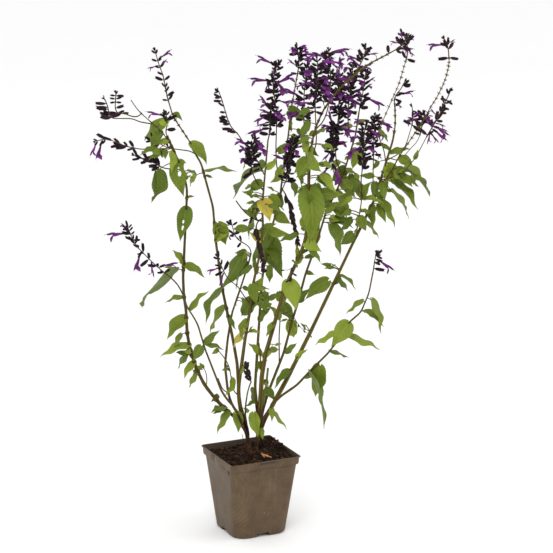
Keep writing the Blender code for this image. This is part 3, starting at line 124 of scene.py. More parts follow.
# Each leafy stem: its pixels from the crown to its tip, mm behind the axis at its foot, middle and
# tip, and its radius in mm at its foot and tip.
STEMS = {
    "stem_left_outer": dict(
        route=((247, 433), (239, 421), (231, 414), (222, 406), (206, 387), (197, 370), (189, 345),
               (186.5, 325), (186, 310), (184, 298), (183, 274), (183.5, 258), (185, 230), (186, 205),
               (187, 190), (184, 174), (179, 163), (175, 153), (170, 143), (167, 136)),
        away=(-6, -34, -62), radius=(1.7, 1.1)),
    "stem_left_tall": dict(
        route=((246, 432), (243, 421), (240, 410), (238.5, 392), (238, 370), (234, 345), (231, 330),
               (228, 315), (226, 305), (222, 288), (219, 266), (217, 250), (215.5, 238), (215, 225),
               (213, 207), (210, 197), (206, 182), (203, 170), (201, 163), (196, 155), (190, 142),
               (182, 130), (176, 121), (172, 113)),
        away=(2, 52, 84), radius=(1.7, 1.0)),
    "stem_left_arching": dict(
        route=((248, 438), (240, 419), (234, 407), (226, 398), (221, 390), (218, 381), (212, 366),
               (207, 354), (203, 343), (200, 331), (197, 323), (193, 316), (187, 307), (184, 297),
               (178, 285), (170, 277)),
        away=(-12, -84, -140), radius=(1.3, 0.9)),
    "stem_middle_left": dict(
        route=((247, 436), (240, 417), (234, 408), (229, 397), (226.5, 380), (225, 365), (227, 345),
               (229, 330), (232, 313), (236, 302), (240, 290), (244, 277), (249, 262), (251, 253)),
        away=(8, 88, 132), radius=(1.4, 1.0)),
    "stem_middle": dict(
        route=((247, 431), (244, 420), (240, 406), (238.5, 392), (239.5, 378), (241.5, 365),
               (243.5, 350), (246.5, 330), (250, 310), (252, 290), (255, 275), (259, 258), (262, 240),
               (263, 223), (262, 210), (263, 195), (264, 182), (265.5, 168), (267, 155), (268, 140)),
        away=(-1, -32, -64), radius=(2.1, 1.0)),
    "stem_centre_tall": dict(
        route=((258, 434), (258, 420), (257, 405), (255, 390), (256, 375), (257, 360), (258, 345),
               (259, 325), (260, 305), (262, 280), (266, 255), (271, 230), (275, 215), (279, 203),
               (281, 190), (283, 175), (285, 155), (287, 145), (289, 130), (290, 118), (292, 103),
               (295, 88), (297, 77)),
        away=(4, 34, 62), radius=(1.6, 1.0)),
    "stem_centre_short": dict(
        route=((258.5, 430), (260, 410), (262, 395), (262, 380), (261, 365), (260, 352), (259, 343)),
        away=(-1, -7, -14), radius=(1.3, 0.9)),
    "stem_right_thick": dict(
        route=((259, 428), (260, 412), (260.5, 395), (262.5, 370), (267, 348), (273, 327), (280, 303),
               (287, 283), (292, 273), (298, 260), (305, 241), (308, 220), (309, 195), (309, 170),
               (311, 148), (315, 130), (320, 117), (326, 106), (334, 95), (343, 85), (352, 77),
               (365, 66), (376, 60), (388, 54)),
        away=(-6, -64, -112), radius=(2.3, 1.1)),
    "stem_right_tall": dict(
        route=((258, 433), (262, 412), (267, 396), (271, 385), (276, 373), (280, 362), (284, 352),
               (287, 340), (291, 325), (295, 312), (300, 295), (306, 272), (311, 258), (316, 245),
               (321, 228), (326, 212), (330, 203), (337, 190), (343, 175), (350, 153), (356, 133),
               (359, 112)),
        away=(10, 96, 158), radius=(1.6, 1.0)),
    "stem_right_leafy": dict(
        route=((258, 437), (262, 425), (269, 411), (278, 395), (288, 377), (296, 360), (303, 346),
               (310, 333), (317, 318), (324, 303), (332, 287), (338, 275), (346, 258), (352, 245),
               (358, 233), (363, 224), (368, 213), (373, 203), (376, 195), (380, 183), (384, 170),
               (387, 160), (390, 150), (393, 140), (395, 128), (395.5, 118), (395, 108)),
        away=(0, 10, 26), radius=(2.2, 1.0)),
    "stem_right_low": dict(
        route=((258, 433), (262, 421), (271, 406), (281, 396), (297, 385), (310, 371), (322, 359),
               (330, 351), (338, 340), (345, 328), (350, 321), (355, 317), (361, 312), (364, 306),
               (368, 296), (371, 285), (373, 272)),
        away=(-8, -88, -146), radius=(1.3, 0.9)),
    "stem_green_cut": dict(
        route=((259, 426), (262, 408), (265, 392), (267, 380), (268, 368)),
        away=(2, 10, 16), radius=(1.5, 1.4)),
    "stem_dead_thin": dict(
        route=((247.5, 429), (245, 413), (246, 403), (248, 390), (251, 382)),
        away=(-8, -50, -62), radius=(0.9, 0.7)),
}

# Bare side shoots: the stem they grow from, their pixels, mm behind the axis at the tip, radius.
SHOOTS = (
    ("stem_left_outer", ((171, 145), (164, 134), (156, 126.5), (145, 117), (137, 109),
                         (131, 100)), -84, 0.7),
    ("stem_left_outer", ((206, 387), (207, 378), (205, 370), (202, 366)), -60, 0.7),
    ("stem_middle_left", ((228.5, 393), (224, 391), (221, 387), (218, 378)), 50, 0.8),
    ("stem_middle", ((238.5, 395), (234, 392), (231, 380), (229, 366), (223, 356), (216, 348)), 8, 0.8),
    ("stem_right_tall", ((279, 364), (279, 340), (280, 320), (281, 303)), 70, 0.9),
    ("stem_right_leafy", ((356, 237), (357, 228), (359, 215), (361, 205), (362, 195)), -30, 0.9),
    ("stem_right_leafy", ((379, 186), (385, 180), (391, 172), (397, 160), (402, 152), (407, 145),
                          (413, 136), (419, 127), (425, 118), (430, 108), (436, 99), (440, 91),
                          (444, 83), (447, 74), (449, 65), (449, 58)), -52, 0.9),
    ("stem_right_leafy", ((386, 163), (384, 150), (379, 138), (380, 128), (385, 116), (390, 104),
                          (396, 91), (400, 81), (403, 70), (406, 60)), 74, 0.9),
    ("stem_right_leafy", ((387, 160), (397, 155), (405, 147), (409, 135), (412, 125)), -6, 0.7),
    ("stem_right_leafy", ((388, 158), (400, 160), (410, 149), (417, 142), (420, 135)), 66, 0.7),
    ("stem_right_leafy", ((381, 180), (396, 176), (407, 168), (414, 160), (419, 152), (423, 144),
                          (427, 136)), -92, 0.8),
)

# Leaves: pixels of the blade's foot and tip, and its width in pixels.
LEAVES = (
    (166, 122, 144, 141, 13), (166, 131, 149, 150, 10), (163, 120, 152, 132, 8),
    (173, 152, 171, 174, 8), (156, 171, 151, 203, 14), (187, 158, 184, 197, 19),
    (180, 208, 180, 242, 16), (189, 144, 207, 165, 12), (207, 170, 237, 172, 5),
    (206, 176, 213, 178, 3), (196, 175, 190, 187, 5), (187, 198, 195, 196, 3),
    (185, 266, 205, 278, 9), (172, 277, 142, 308, 9), (177, 270, 163, 267, 4),
    (182, 298, 165, 303, 5), (188, 318, 167, 340, 13), (181, 334, 173, 350, 6),
    (188, 345, 160, 357, 9), (189, 351, 178, 369, 6), (201, 346, 193, 361, 11),
    (198, 361, 184, 379, 8), (197, 372, 189, 388, 6), (190, 309, 209, 291, 7),
    (221, 290, 206, 324, 9), (224, 309, 210, 333, 7), (205, 343, 220, 330, 8),
    (206, 344, 224, 350, 5), (224, 407, 211, 413, 7), (229, 412, 217, 434, 8),
    (218, 223, 226, 245, 17), (252, 153, 243, 170, 4), (262, 171, 233, 199, 5),
    (262, 190, 249, 212, 11), (282, 210, 262, 210, 7), (281, 194, 284, 211, 9),
    (260, 205, 249, 240, 8), (243, 255, 222, 290, 15), (240, 262, 236, 290, 7),
    (271, 238, 283, 278, 21), (269, 228, 252, 262, 18), (268, 266, 270, 283, 8),
    (306, 189, 309, 245, 27), (322, 190, 320, 232, 22), (258, 293, 267, 313, 16),
    (254, 298, 241, 316, 15), (248, 320, 240, 341, 8), (288, 281, 296, 311, 19),
    (283, 303, 292, 323, 12), (290, 320, 294, 338, 13), (271, 322, 266, 337, 6),
    (297, 263, 295, 244, 8), (328, 281, 305, 300, 15), (302, 271, 315, 275, 5),
    (276, 282, 281, 293, 6), (253, 289, 270, 289, 5), (232, 378, 225, 396, 7),
    (238, 411, 238, 433, 11), (254, 413, 258, 438, 12), (261, 428, 263, 440, 6),
    (265, 391, 258, 397, 5), (266, 388, 275, 401, 9), (254, 389, 256, 406, 6),
    (256, 402, 245, 407, 4), (270, 410, 287, 430, 4), (270, 407, 272, 422, 6),
    (260, 355, 248, 343, 7), (262, 356, 273, 345, 7), (330, 224, 340, 256, 13),
    (353, 233, 340, 245, 12), (357, 216, 366, 231, 12), (352, 219, 341, 231, 8),
    (331, 190, 347, 222, 8), (331, 205, 346, 220, 9), (371, 205, 373, 229, 9),
    (379, 200, 395, 228, 9), (366, 222, 379, 239, 4), (387, 165, 403, 187, 17),
    (392, 183, 418, 210, 9), (392, 192, 409, 219, 4), (402, 174, 419, 187, 7),
    (406, 170, 430, 197, 4), (375, 182, 372, 198, 9), (383, 183, 385, 201, 10),
    (364, 200, 385, 205, 5), (391, 152, 411, 149, 7), (400, 158, 413, 166, 11),
    (416, 160, 418, 149, 5), (381, 146, 391, 153, 5), (380, 130, 388, 142, 5),
    (345, 320, 331, 347, 19), (350, 336, 380, 350, 7), (334, 333, 315, 345, 6),
    (363, 301, 346, 314, 5), (372, 300, 381, 334, 8), (364, 312, 384, 327, 6),
    (320, 366, 315, 397, 17), (330, 351, 349, 358, 3), (290, 371, 274, 389, 8),
    (300, 373, 313, 377, 5), (309, 374, 324, 429, 6), (336, 278, 348, 291, 6),
    (340, 276, 356, 290, 3), (329, 284, 342, 280, 4), (223, 317, 236, 330, 6),
    (244, 330, 233, 348, 6), (260, 200, 270, 222, 9), (309, 110, 297, 116, 7),
    (292, 121, 291, 133, 4), (309, 122, 300, 140, 8), (312, 136, 327, 129, 6),
    (352, 126, 341, 129, 6), (357, 124, 369, 120, 6), (309, 160, 296, 178, 13),
    (311, 152, 322, 172, 13), (343, 178, 355, 196, 14), (346, 168, 331, 182, 13),
    (352, 150, 366, 165, 12), (331, 202, 316, 205, 10), (283, 168, 270, 183, 11),
    (285, 158, 297, 166, 10), (326, 212, 349, 206, 9), (363, 197, 352, 180, 11),
    (362, 198, 372, 181, 9), (265, 168, 277, 158, 7), (262, 240, 249, 232, 9),
    (276, 214, 291, 224, 12), (305, 242, 322, 252, 12), (216, 240, 230, 233, 6),
    (183, 262, 172, 250, 7), (252, 288, 264, 276, 8), (259, 320, 272, 307, 8),
    (280, 318, 268, 305, 8), (297, 300, 310, 288, 9), (240, 372, 250, 362, 6),
    (257, 372, 268, 360, 6), (285, 352, 297, 343, 7), (297, 359, 308, 349, 6),
)

# Flower spikes: the stem they grow from, mm behind the axis at the tip, how far along the calyces
# start, the side they lean to (left -1, right 1, all round 0), their pixels, and each open flower as
# the pixels where its calyx sits and its corolla ends.
def spike(stem, away, start, side, route, flowers=()):
    """A row of the table of spikes; the stem is named without its first word."""
    return dict(stem="stem_" + stem, away=away, start=start, side=side, route=route, flowers=flowers)


SPIKES = {
    "spike_left_a": spike("left_outer", -104, 0.62, -1, ((153, 124), (146, 123), (140, 122),
        (132, 118.5), (124, 118.5), (115, 119), (110, 117), (108, 110), (107, 104), (104, 98))),
    "spike_left_b": spike("left_outer", -66, 0.45, 0, ((142, 113), (138, 117), (130, 116), (124, 113),
        (118, 114), (115, 108), (116, 100), (116, 93))),
    "spike_left_c": spike("left_outer", -92, 0.48, 0, ((172, 147), (160, 150), (150, 149),
        (143, 149.5), (135, 148.5), (128, 147), (122, 145), (117, 143), (112, 140), (105, 139),
        (96, 141)), (((99, 144), (91, 156)), ((104, 145), (97, 159)))),
    "spike_left_d": spike("left_outer", -20, 0.42, 0, ((182, 169), (176, 169), (168, 169), (160, 167),
        (155, 163), (148, 160), (140, 158), (134, 155))),
    "spike_left_upper": spike("left_outer", -40, 0.25, 0, ((167, 136), (165.5, 131.5), (167.5, 124),
        (166, 113)), (((168, 117), (147, 113)),)),
    "spike_left_small": spike("left_tall", 40, 0.55, 0, ((196, 154), (190, 151), (180, 150),
        (172, 149), (165, 147), (158, 143), (150, 139))),
    "spike_left_top": spike("left_tall", 96, 0.2, 0, ((172, 113), (168, 100), (165, 86), (164, 79),
        (162, 72), (158, 62), (155, 50)), (((158, 60), (171, 51)), ((158, 66), (148, 69)))),
    "spike_arching": spike("left_arching", -176, 0.1, 0, ((170, 277), (161, 270), (157, 266),
        (150, 260), (144, 254), (139, 249), (134, 243), (131, 235), (127, 226)), (((131, 234),
        (107, 236)), ((130, 229), (121, 224)), ((158, 268), (178, 264)), ((140, 253), (135, 271)),
        ((150, 262), (153, 277)))),
    "spike_left_low": spike("middle", -70, 0.7, 0, ((249, 304), (246, 299), (240, 289), (234, 283),
        (228, 279), (223, 270), (217, 256)), (((222, 268), (207, 272)), ((224, 272), (220, 286)))),
    "spike_middle_left": spike("middle_left", 150, 0.4, 0, ((251, 253), (250.5, 249), (247, 245),
        (237, 239), (234, 232), (231, 222))),
    "spike_one_sided": spike("middle", -98, 0.5, -1, ((264.5, 176), (257, 160), (250, 150),
        (243, 142), (238, 134), (233, 130), (229, 123), (227, 117), (225, 111), (223, 104), (221, 97),
        (218, 90))),
    "spike_middle": spike("middle", -70, 0.15, 0, ((268, 140), (270.5, 130), (270, 121), (270, 112),
        (272, 104)), (((268, 128), (248, 135)), ((271, 118), (279, 109)), ((269, 122), (257, 127)))),
    "spike_middle_low": spike("middle", -126, 0.35, 0, ((263.5, 191), (257, 183), (252, 171),
        (251, 160), (252, 150), (255, 138)), (((253, 152), (263, 143)),)),
    "spike_centre_top": spike("centre_tall", 66, 0.1, 0, ((297, 77), (298.5, 70), (299, 60),
        (297, 45)), (((299, 62), (312, 57)), ((299, 68), (288, 60)), ((298, 56), (290, 48)),
        ((299, 72), (309, 76)))),
    "spike_centre_left": spike("centre_tall", 6, 0.45, 0, ((282, 181), (277, 168), (276, 155),
        (276, 140), (277, 115), (275, 97), (273, 86), (274, 75), (278, 62)), (((275, 66), (257, 57)),
        ((273, 82), (250, 80)), ((274, 77), (266, 90)), ((276, 86), (294, 75)), ((277, 100),
        (290, 104)))),
    "spike_centre_low": spike("centre_tall", -24, 0.3, 0, ((279, 204), (282, 190), (288, 176),
        (291, 163), (291, 150), (294, 136)), (((291, 150), (309, 145)), ((290, 160), (282, 170)))),
    "spike_top_a": spike("right_thick", -36, 0.45, 0, ((309, 168), (305, 150), (304, 130), (304, 110),
        (304, 95), (306, 80), (307, 66)), (((305, 84), (295, 88)), ((306, 76), (318, 84)), ((305, 98),
        (296, 104)))),
    "spike_top_b": spike("right_thick", -144, 0.45, 0, ((310, 160), (316, 145), (316, 125),
        (315, 105), (316, 88), (318, 70), (317, 58)), (((318, 66), (334, 61)), ((317, 86), (330, 92)),
        ((317, 62), (305, 57)), ((316, 98), (326, 103)))),
    "spike_top_c": spike("right_thick", -70, 0.35, 0, ((315, 130), (323, 122), (328, 108), (330, 92),
        (331, 78), (330, 64), (328, 50)), (((330, 62), (340, 70)), ((330, 84), (320, 80)))),
    "spike_top_d": spike("right_tall", 74, 0.4, 0, ((343, 175), (336, 160), (336, 145), (338, 125),
        (339, 105), (339, 90), (338, 74)), (((339, 92), (349, 99)), ((338, 82), (329, 76)))),
    "spike_top_e": spike("right_tall", 112, 0.3, 0, ((353, 143), (349, 134), (348, 122), (348, 110),
        (350, 94), (352, 80), (353, 65)), (((351, 82), (343, 90)), ((350, 98), (362, 96)))),
    "spike_right_tall": spike("right_tall", 172, 0.1, 0, ((359, 112), (361, 102), (363, 92),
        (365, 80), (366, 70)), (((363, 97), (384, 107)), ((364, 84), (375, 78)))),
    "spike_top_f": spike("right_thick", -86, 0.25, 0, ((350, 79), (355, 74), (359, 66), (364, 57),
        (366, 46)), (((365, 55), (378, 54)),)),
    "spike_right_top": spike("right_thick", -120, 0.05, 0, ((388, 54), (396, 50), (403, 44),
        (409, 36)), (((396, 50), (413, 50)), ((402, 44), (390, 42)))),
    "spike_far_back": spike("right_leafy", 84, 0.05, 0, ((406, 60), (408, 51), (406, 41), (402, 31)),
        (((407, 50), (414, 56)), ((405, 40), (414, 38)))),
    "spike_right_leafy": spike("right_leafy", 34, 0.05, 1, ((395, 108), (394, 101), (396, 95),
        (401, 89), (405, 81)), (((396, 97), (414, 92)),)),
    "spike_hanging": spike("right_tall", 30, 0.35, 0, ((340, 182), (335.5, 176), (332, 167),
        (332, 156), (333, 140), (334, 124)), (((330, 165), (317, 181)), ((332, 163), (341, 184)),
        ((332, 150), (323, 161)))),
    "spike_right_inner": spike("right_leafy", -58, 0.35, 0, ((362, 195), (361, 180), (363, 165),
        (364, 150), (364, 136), (366, 122)), (((363, 134), (343, 130)), ((363, 142), (356, 152)),
        ((364, 146), (373, 140)))),
    "spike_right_back": spike("right_leafy", 70, 0.45, 0, ((375, 199), (373, 190), (373, 175),
        (374, 155), (374, 135), (375, 115)), (((374, 150), (381, 159)),)),
    "spike_far_right": spike("right_leafy", -58, 0.05, 0, ((449, 58), (449, 51), (447, 44),
        (444, 38)), (((447, 46), (428, 46)), ((448, 44), (455, 40)))),
    "spike_right_a": spike("right_leafy", -8, 0.05, 0, ((412, 125), (413, 116), (412, 106))),
    "spike_right_b": spike("right_leafy", 72, 0.05, 0, ((420, 135), (422, 126), (425, 113)),
        (((421, 126), (430, 113)),)),
    "spike_right_c": spike("right_leafy", -118, 0.02, 0, ((427, 136), (433, 126), (438, 117),
        (443, 108), (447, 99), (451, 90)), (((434, 126), (448, 136)), ((431, 131), (428, 144)),
        ((439, 118), (430, 109)))),
    "spike_right_low": spike("right_low", -152, 0.2, 1, ((373, 272), (374.5, 262), (376, 253)),
        (((377, 259), (393, 271)),)),
    "spike_dead_high": spike("centre_tall", -6, 0.1, 0, ((281, 187), (286, 195), (290, 205),
        (292, 215), (294, 226), (298, 242))),
    "spike_dead_middle": spike("middle", -90, 0.2, 0, ((262, 218), (257, 222), (256, 232), (259, 245),
        (262, 258), (264, 270))),
    "spike_dead_low": spike("dead_thin", -66, 0.05, 0, ((251, 382), (249, 377), (247, 371),
        (246, 364))),
}


def sight():
    """The right, up and forward directions of the photograph."""
    sin_a, cos_a = math.sin(SIGHT_AZIMUTH), math.cos(SIGHT_AZIMUTH)
    sin_e, cos_e = math.sin(SIGHT_ELEVATION), math.cos(SIGHT_ELEVATION)
    right = np.array((cos_a, sin_a, 0.0))
    forward = np.array((-sin_a * cos_e, cos_a * cos_e, -sin_e))
    return right, np.cross(right, forward), forward


RIGHT, UP, FORWARD = sight()
LEVEL = np.array((-math.sin(SIGHT_AZIMUTH), math.cos(SIGHT_AZIMUTH), 0.0))
RIM_OFFSET = (np.array(RIM_PIXEL) - SIGHT_CENTRE) / SIGHT_LENGTH
EYE = (0.0, 0.0, POT_HEIGHT) - SIGHT_DISTANCE * (FORWARD + RIGHT * RIM_OFFSET[0] - UP * RIM_OFFSET[1])
UPRIGHT = np.array((0.0, 0.0, 1.0))


def place(pixels, away):
    """Where the lines of sight through the pixels meet the planes `away` behind the pot's axis."""
    offset = (np.atleast_2d(np.asarray(pixels, float)) - SIGHT_CENTRE) / SIGHT_LENGTH
    ray = FORWARD + RIGHT * offset[:, :1] - UP * offset[:, 1:]
    reach = (np.asarray(away, float) - EYE @ LEVEL) / (ray @ LEVEL)
    return EYE + ray * reach[:, None]


def seen_at(point):
    """The pixel that a point of the plant shows at."""
    ray = point - EYE
    return SIGHT_CENTRE + SIGHT_LENGTH * np.array((ray @ RIGHT, -(ray @ UP))) / (ray @ FORWARD)


def unit(vectors):
    """The vectors, each divided by its length."""
    return vectors / np.linalg.norm(vectors, axis=-1, keepdims=True)


def smooth(points, step):
    """A Catmull-Rom curve through the points, with a sample about every `step` pixels."""
    points = np.asarray(points, float)
    ends = np.vstack((2 * points[0] - points[1], points, 2 * points[-1] - points[-2]))
    samples = []
    for before, start, end, after in zip(ends, ends[1:], ends[2:], ends[3:]):
        count = max(1, round(np.linalg.norm((end - start)[:2]) / step))
        t = (np.arange(count) / count)[:, None]
        samples.append(0.5 * (2 * start + (end - before) * t
                              + (2 * before - 5 * start + 4 * end - after) * t**2
                              + (3 * start - before - 3 * end + after) * t**3))
    return np.vstack((*samples, points[-1:]))


def lengths(points):
    """The distance along a line of points, from its first."""
    return np.concatenate(((0.0,), np.cumsum(np.linalg.norm(np.diff(points, axis=0), axis=1))))


def bowed(ends, part):
    """A depth that passes the foot's, middle's and tip's values as `part` goes from 0 to 1."""
    foot, middle, tip = ends
    return foot + (4 * middle - 3 * foot - tip) * part + (2 * foot + 2 * tip - 4 * middle) * part**2


def tangents(points):
    """The direction of a line at each of its points."""
    return unit(np.gradient(points, axis=0))


class Tube:
    """A stem, shoot or stalk: its pixels, its points on the plant and its radius at each."""

    def __init__(self, pixels, points, radii):
        self.pixels = pixels
        self.points = points
        self.radii = radii

    def parting(self):
        """How far along a stem leaves the crown, at the height where the stems are clear."""
        return float(np.interp(PARTING_HEIGHT, self.points[:, 2], lengths(self.points)))

    def straightened(self, slack):
        """The tube with only the points that keep it within `slack` of its line."""
        stretches = [(0, len(self.points) - 1)]
        chosen = set(stretches[0])
        while stretches:
            low, high = stretches.pop()
            if high - low < 2:
                continue
            chord = unit(self.points[high] - self.points[low])
            out = self.points[low + 1:high] - self.points[low]
            off = np.linalg.norm(out - (out @ chord)[:, None] * chord, axis=1)
            if off.max() > slack:
                worst = low + 1 + int(off.argmax())
                chosen.add(worst)
                stretches += [(low, worst), (worst, high)]
        index = sorted(chosen)
        return Tube(self.pixels[index], self.points[index], self.radii[index])

    def straight(self):
        """The tube as straight stretches between its turns, with a sample every millimetre."""
        corners = self.straightened(SLACK)
        along = lengths(corners.points)
        at = np.union1d(along, np.arange(MM, along[-1] - MM, MM))
        return Tube(across(at, along, corners.pixels), across(at, along, corners.points),
                    np.interp(at, along, corners.radii))

    def part(self, first, last):
        """The tube between two distances along it, cut at those exact points."""
        along = lengths(self.points)
        kept = (along > first + MM) & (along < last - MM)
        at = np.concatenate(((first,), along[kept], (last,)))
        return Tube(across(at, along, self.pixels), across(at, along, self.points),
                    np.interp(at, along, self.radii))


def across(at, along, values):
    """The rows of `values` at the distances `at`, where they are given at those of `along`."""
    return np.stack([np.interp(at, along, column) for column in values.T], axis=1)


def stem_tube(stem):
    """A stem's tube, which bows towards or from the viewer and tapers to its tip."""
    pixels = smooth(stem["route"], PIXEL_STEP)
    part = lengths(pixels) / lengths(pixels)[-1]
    points = place(pixels, bowed(stem["away"], part) * MM)
    foot, tip = stem["radius"]
    return Tube(pixels, points, (foot + (tip - foot) * part) * MM)


def trunk_tube(side):
    """A trunk of the crown, which narrows by a quarter to its top."""
    route = smooth(TRUNKS[side], 2 * PIXEL_STEP)
    radii = np.linspace(TRUNK_RADIUS, 0.75 * TRUNK_RADIUS, len(route))
    return Tube(route[:, :2], place(route[:, :2], route[:, 2] * MM), radii)


def rooted(tube, trunk):
    """The stem with its foot on the trunk's middle line, a little lower than its first point."""
    level = tube.points[0, 2] - ROOTED_BELOW
    foot = [np.interp(level, trunk.points[:, 2], column) for column in trunk.points.T]
    pixel = [np.interp(level, trunk.points[:, 2], column) for column in trunk.pixels.T]
    return Tube(np.vstack((pixel, tube.pixels)), np.vstack((foot, tube.points)),
                np.append(tube.radii[:1], tube.radii))


def branch_tube(parent, route, away, radii):
    """A tube that leaves its parent at the nearest point to its first pixel."""
    tube, index = nearest(parent, route[0])
    foot = tube.points[index] @ LEVEL
    pixels = smooth((tube.pixels[index], *route[1:]), PIXEL_STEP)
    part = lengths(pixels) / lengths(pixels)[-1]
    points = place(pixels, foot + (away * MM - foot) * part**1.2)
    points[0] = tube.points[index]
    return Tube(pixels, points, np.interp(part, (0, 1), radii)).straight(), tube, index


def nearest(tubes, pixel):
    """The tube, and the sample along it, that lie nearest a pixel."""
    best = min(tubes, key=lambda tube: np.linalg.norm(tube.pixels - pixel, axis=1).min())
    return best, int(np.linalg.norm(best.pixels - pixel, axis=1).argmin())


def pixels_off(tubes, pixel):
    """How many pixels the nearest of the tubes passes from a pixel."""
    return min(np.linalg.norm(tube.pixels - pixel, axis=1).min() for tube in tubes)


def nearest_stem(stems, pixel):
    """The name of the stem that passes nearest a pixel, with its side shoots."""
    return min(stems, key=lambda name: pixels_off(stems[name], pixel))


class Room:
    """The space that the pieces take, as balls, so that pieces of different nodes stay apart."""

    def __init__(self):
        self.centres = np.zeros((0, 3))
        self.radii = np.zeros(0)
        self.owners = np.zeros(0, int)
        self.names = []

    def owner(self, node):
        if node not in self.names:
            self.names.append(node)
        return self.names.index(node)

    def take(self, node, centres, radii):
        self.centres = np.vstack((self.centres, centres))
        self.radii = np.append(self.radii, np.broadcast_to(radii, len(centres)))
        self.owners = np.append(self.owners, np.full(len(centres), self.owner(node)))

    def clearance(self, node, centres, radii):
        """How far the balls lie from the nearest ball of any other node."""
        low, high = centres.min(axis=0) - 0.012, centres.max(axis=0) + 0.012
        inside = ((self.centres > low) & (self.centres < high)).all(axis=1)
        near = inside & (self.owners != self.owner(node))
        if not near.any():
            return 1.0
        apart = np.linalg.norm(centres[:, None] - self.centres[near][None], axis=2)
        return (apart - self.radii[near] - np.reshape(radii, (-1, 1))).min()


def take_tube(room, node, tube):
    """The tube's space as a ball every 1.5 mm."""
    along = lengths(tube.points)
    at = np.arange(0, along[-1] + MM, 1.5 * MM)
    room.take(node, across(at, along, tube.points), np.interp(at, along, tube.radii))


def leaf_frame(foot, tip, width, bank):
    """The axis, left and normal of a leaf that shows `width` of its breadth to the photograph."""
    axis = unit(tip - foot)
    facing = unit(-FORWARD + axis * (FORWARD @ axis))
    side = np.cross(axis, facing)
    breadth = max(width, LEAF_BROAD * np.linalg.norm(tip - foot))
    turn = math.acos(min(1.0, width / breadth)) * bank
    normal = facing * math.cos(turn) + side * math.sin(turn)
    if normal[2] < 0:
        normal = facing * math.cos(turn) - side * math.sin(turn)
    return axis, np.cross(normal, axis), normal, breadth


def leaf_surface(foot, tip, width, bank, along, sideways):
    """Points of the blade: `along` runs 0 to 1 up the midrib and `sideways` -1 to 1 across it.

    The blade is widest a third of the way up, arches towards its normal and droops at the tip, and
    its two halves fold up from the midrib.
    """
    axis, left, normal, breadth = leaf_frame(foot, tip, width, bank)
    length = np.linalg.norm(tip - foot)
    along = np.clip(along, 0, 1)
    half = 0.5 * breadth * 2.85 * along**0.5 * (1 - along) ** 1.25
    arch = length * LEAF_ARCH * along * (1 - along) ** 1.2
    lobe = length * LEAF_LOBE * np.abs(sideways) * np.exp(-((along / 0.12) ** 2))
    return (foot + axis * (along * length - lobe)[..., None] + left * (half * sideways)[..., None]
            + normal * (arch + LEAF_FOLD * half * np.abs(sideways))[..., None])


def leaf_balls(foot, tip, width, bank):
    """Points of the blade about LEAF_BALL apart, where its balls go."""
    length = np.linalg.norm(tip - foot)
    rows = max(3, round(length / LEAF_BALL))
    columns = max(2, round(1.1 * max(width, LEAF_BROAD * length) / LEAF_BALL))
    along, sideways = np.meshgrid(np.linspace(0, 1, rows), np.linspace(-1, 1, columns))
    return leaf_surface(foot, tip, width, bank, along.ravel(), sideways.ravel())


def seat_leaves(stems, room, draws):
    """Each leaf on the stem nearest its foot, leaning to or from the viewer until it is clear."""
    seated = []
    for fx, fy, tx, ty, wide in LEAVES:
        node = nearest_stem(stems, (fx, fy))
        tube, index = nearest(stems[node], (fx, fy))
        depth = tube.points[index] @ LEVEL
        span = math.hypot(tx - fx, ty - fy) * PIXEL
        first = draws.uniform(-0.7, 0.7)
        turn = int(draws.choice((-1, 1)))
        stem_point = tube.points[index]
        if stem_point[2] < PARTING_HEIGHT:
            node = "crown_" + trunk_of(node)
        for lean, bank in itertools.product((first, -first, *LEANS), (turn, -turn)):
            foot = place((fx, fy), depth + 0.10 * lean * span)[0]
            tip = place((tx, ty), depth + lean * span)[0]
            if (foot - stem_point) @ (tip - foot) < 0:
                foot = stem_point + unit(tip - stem_point) * 0.2 * MM
            balls = leaf_balls(foot, tip, wide * PIXEL, bank)
            if room.clearance(node, balls, BLADE_HALF) > BLADE_CLEAR:
                room.take(node, balls, BLADE_HALF)
                seated.append((node, stem_point, foot, tip, wide * PIXEL, bank))
                break
    return seated


def flower_line(foot, tip, rise):
    """The middle line of a calyx and its corolla, which arches a little over a straight line."""
    part = np.linspace(0, 1, 7)[:, None]
    return foot + (tip - foot) * part + rise * UPRIGHT * 4 * part * (1 - part)


def seat_flowers(name, spike, tube, room, draws):
    """Each open flower from the spike to its pixel, towards or away from the viewer until clear."""
    seated = []
    for calyx, end in spike["flowers"]:
        index = int(np.linalg.norm(tube.pixels - calyx, axis=1).argmin())
        foot = tube.points[index]
        depth = foot @ LEVEL
        span = math.dist(calyx, end) * PIXEL
        first = draws.uniform(-0.5, 0.5)
        for lean in (first, -first, *LEANS):
            tip = place(end, depth + lean * span)[0]
            line = flower_line(foot, tip, FLOWER_RISE * span)
            if room.clearance(name, line[1:], FLOWER_REACH) > CLEAR:
                room.take(name, line[1:], FLOWER_REACH)
                seated.append((line, unit(tip - foot)))
                break
    return seated


def pot_side(z):
    """The pot's outer side and corner radius at a height, below the collar."""
    part = z / (POT_HEIGHT - COLLAR_HEIGHT)
    side = POT_BASE + (POT_TOP - NECK_IN - POT_BASE) * part
    return side, BASE_CORNER + (NECK_CORNER - BASE_CORNER) * part


def soil_height(x, y):
    """The height of the soil: a low mound at the crown, heaped at the back right corner."""
    spread = np.sqrt(x**2 + y**2) / (POT_TOP / 2)
    heap = np.exp(-(((x - 0.030) / 0.020) ** 2 + ((y - 0.036) / 0.014) ** 2))
    ripple = np.sin(x * 310 + 1.3) * np.sin(y * 270 + 0.4) + 0.6 * np.sin(x * 610 + y * 520)
    return SOIL_TOP - 0.001 + SOIL_MOUND * np.exp(-3 * spread**2) + 0.006 * heap + 0.0007 * ripple


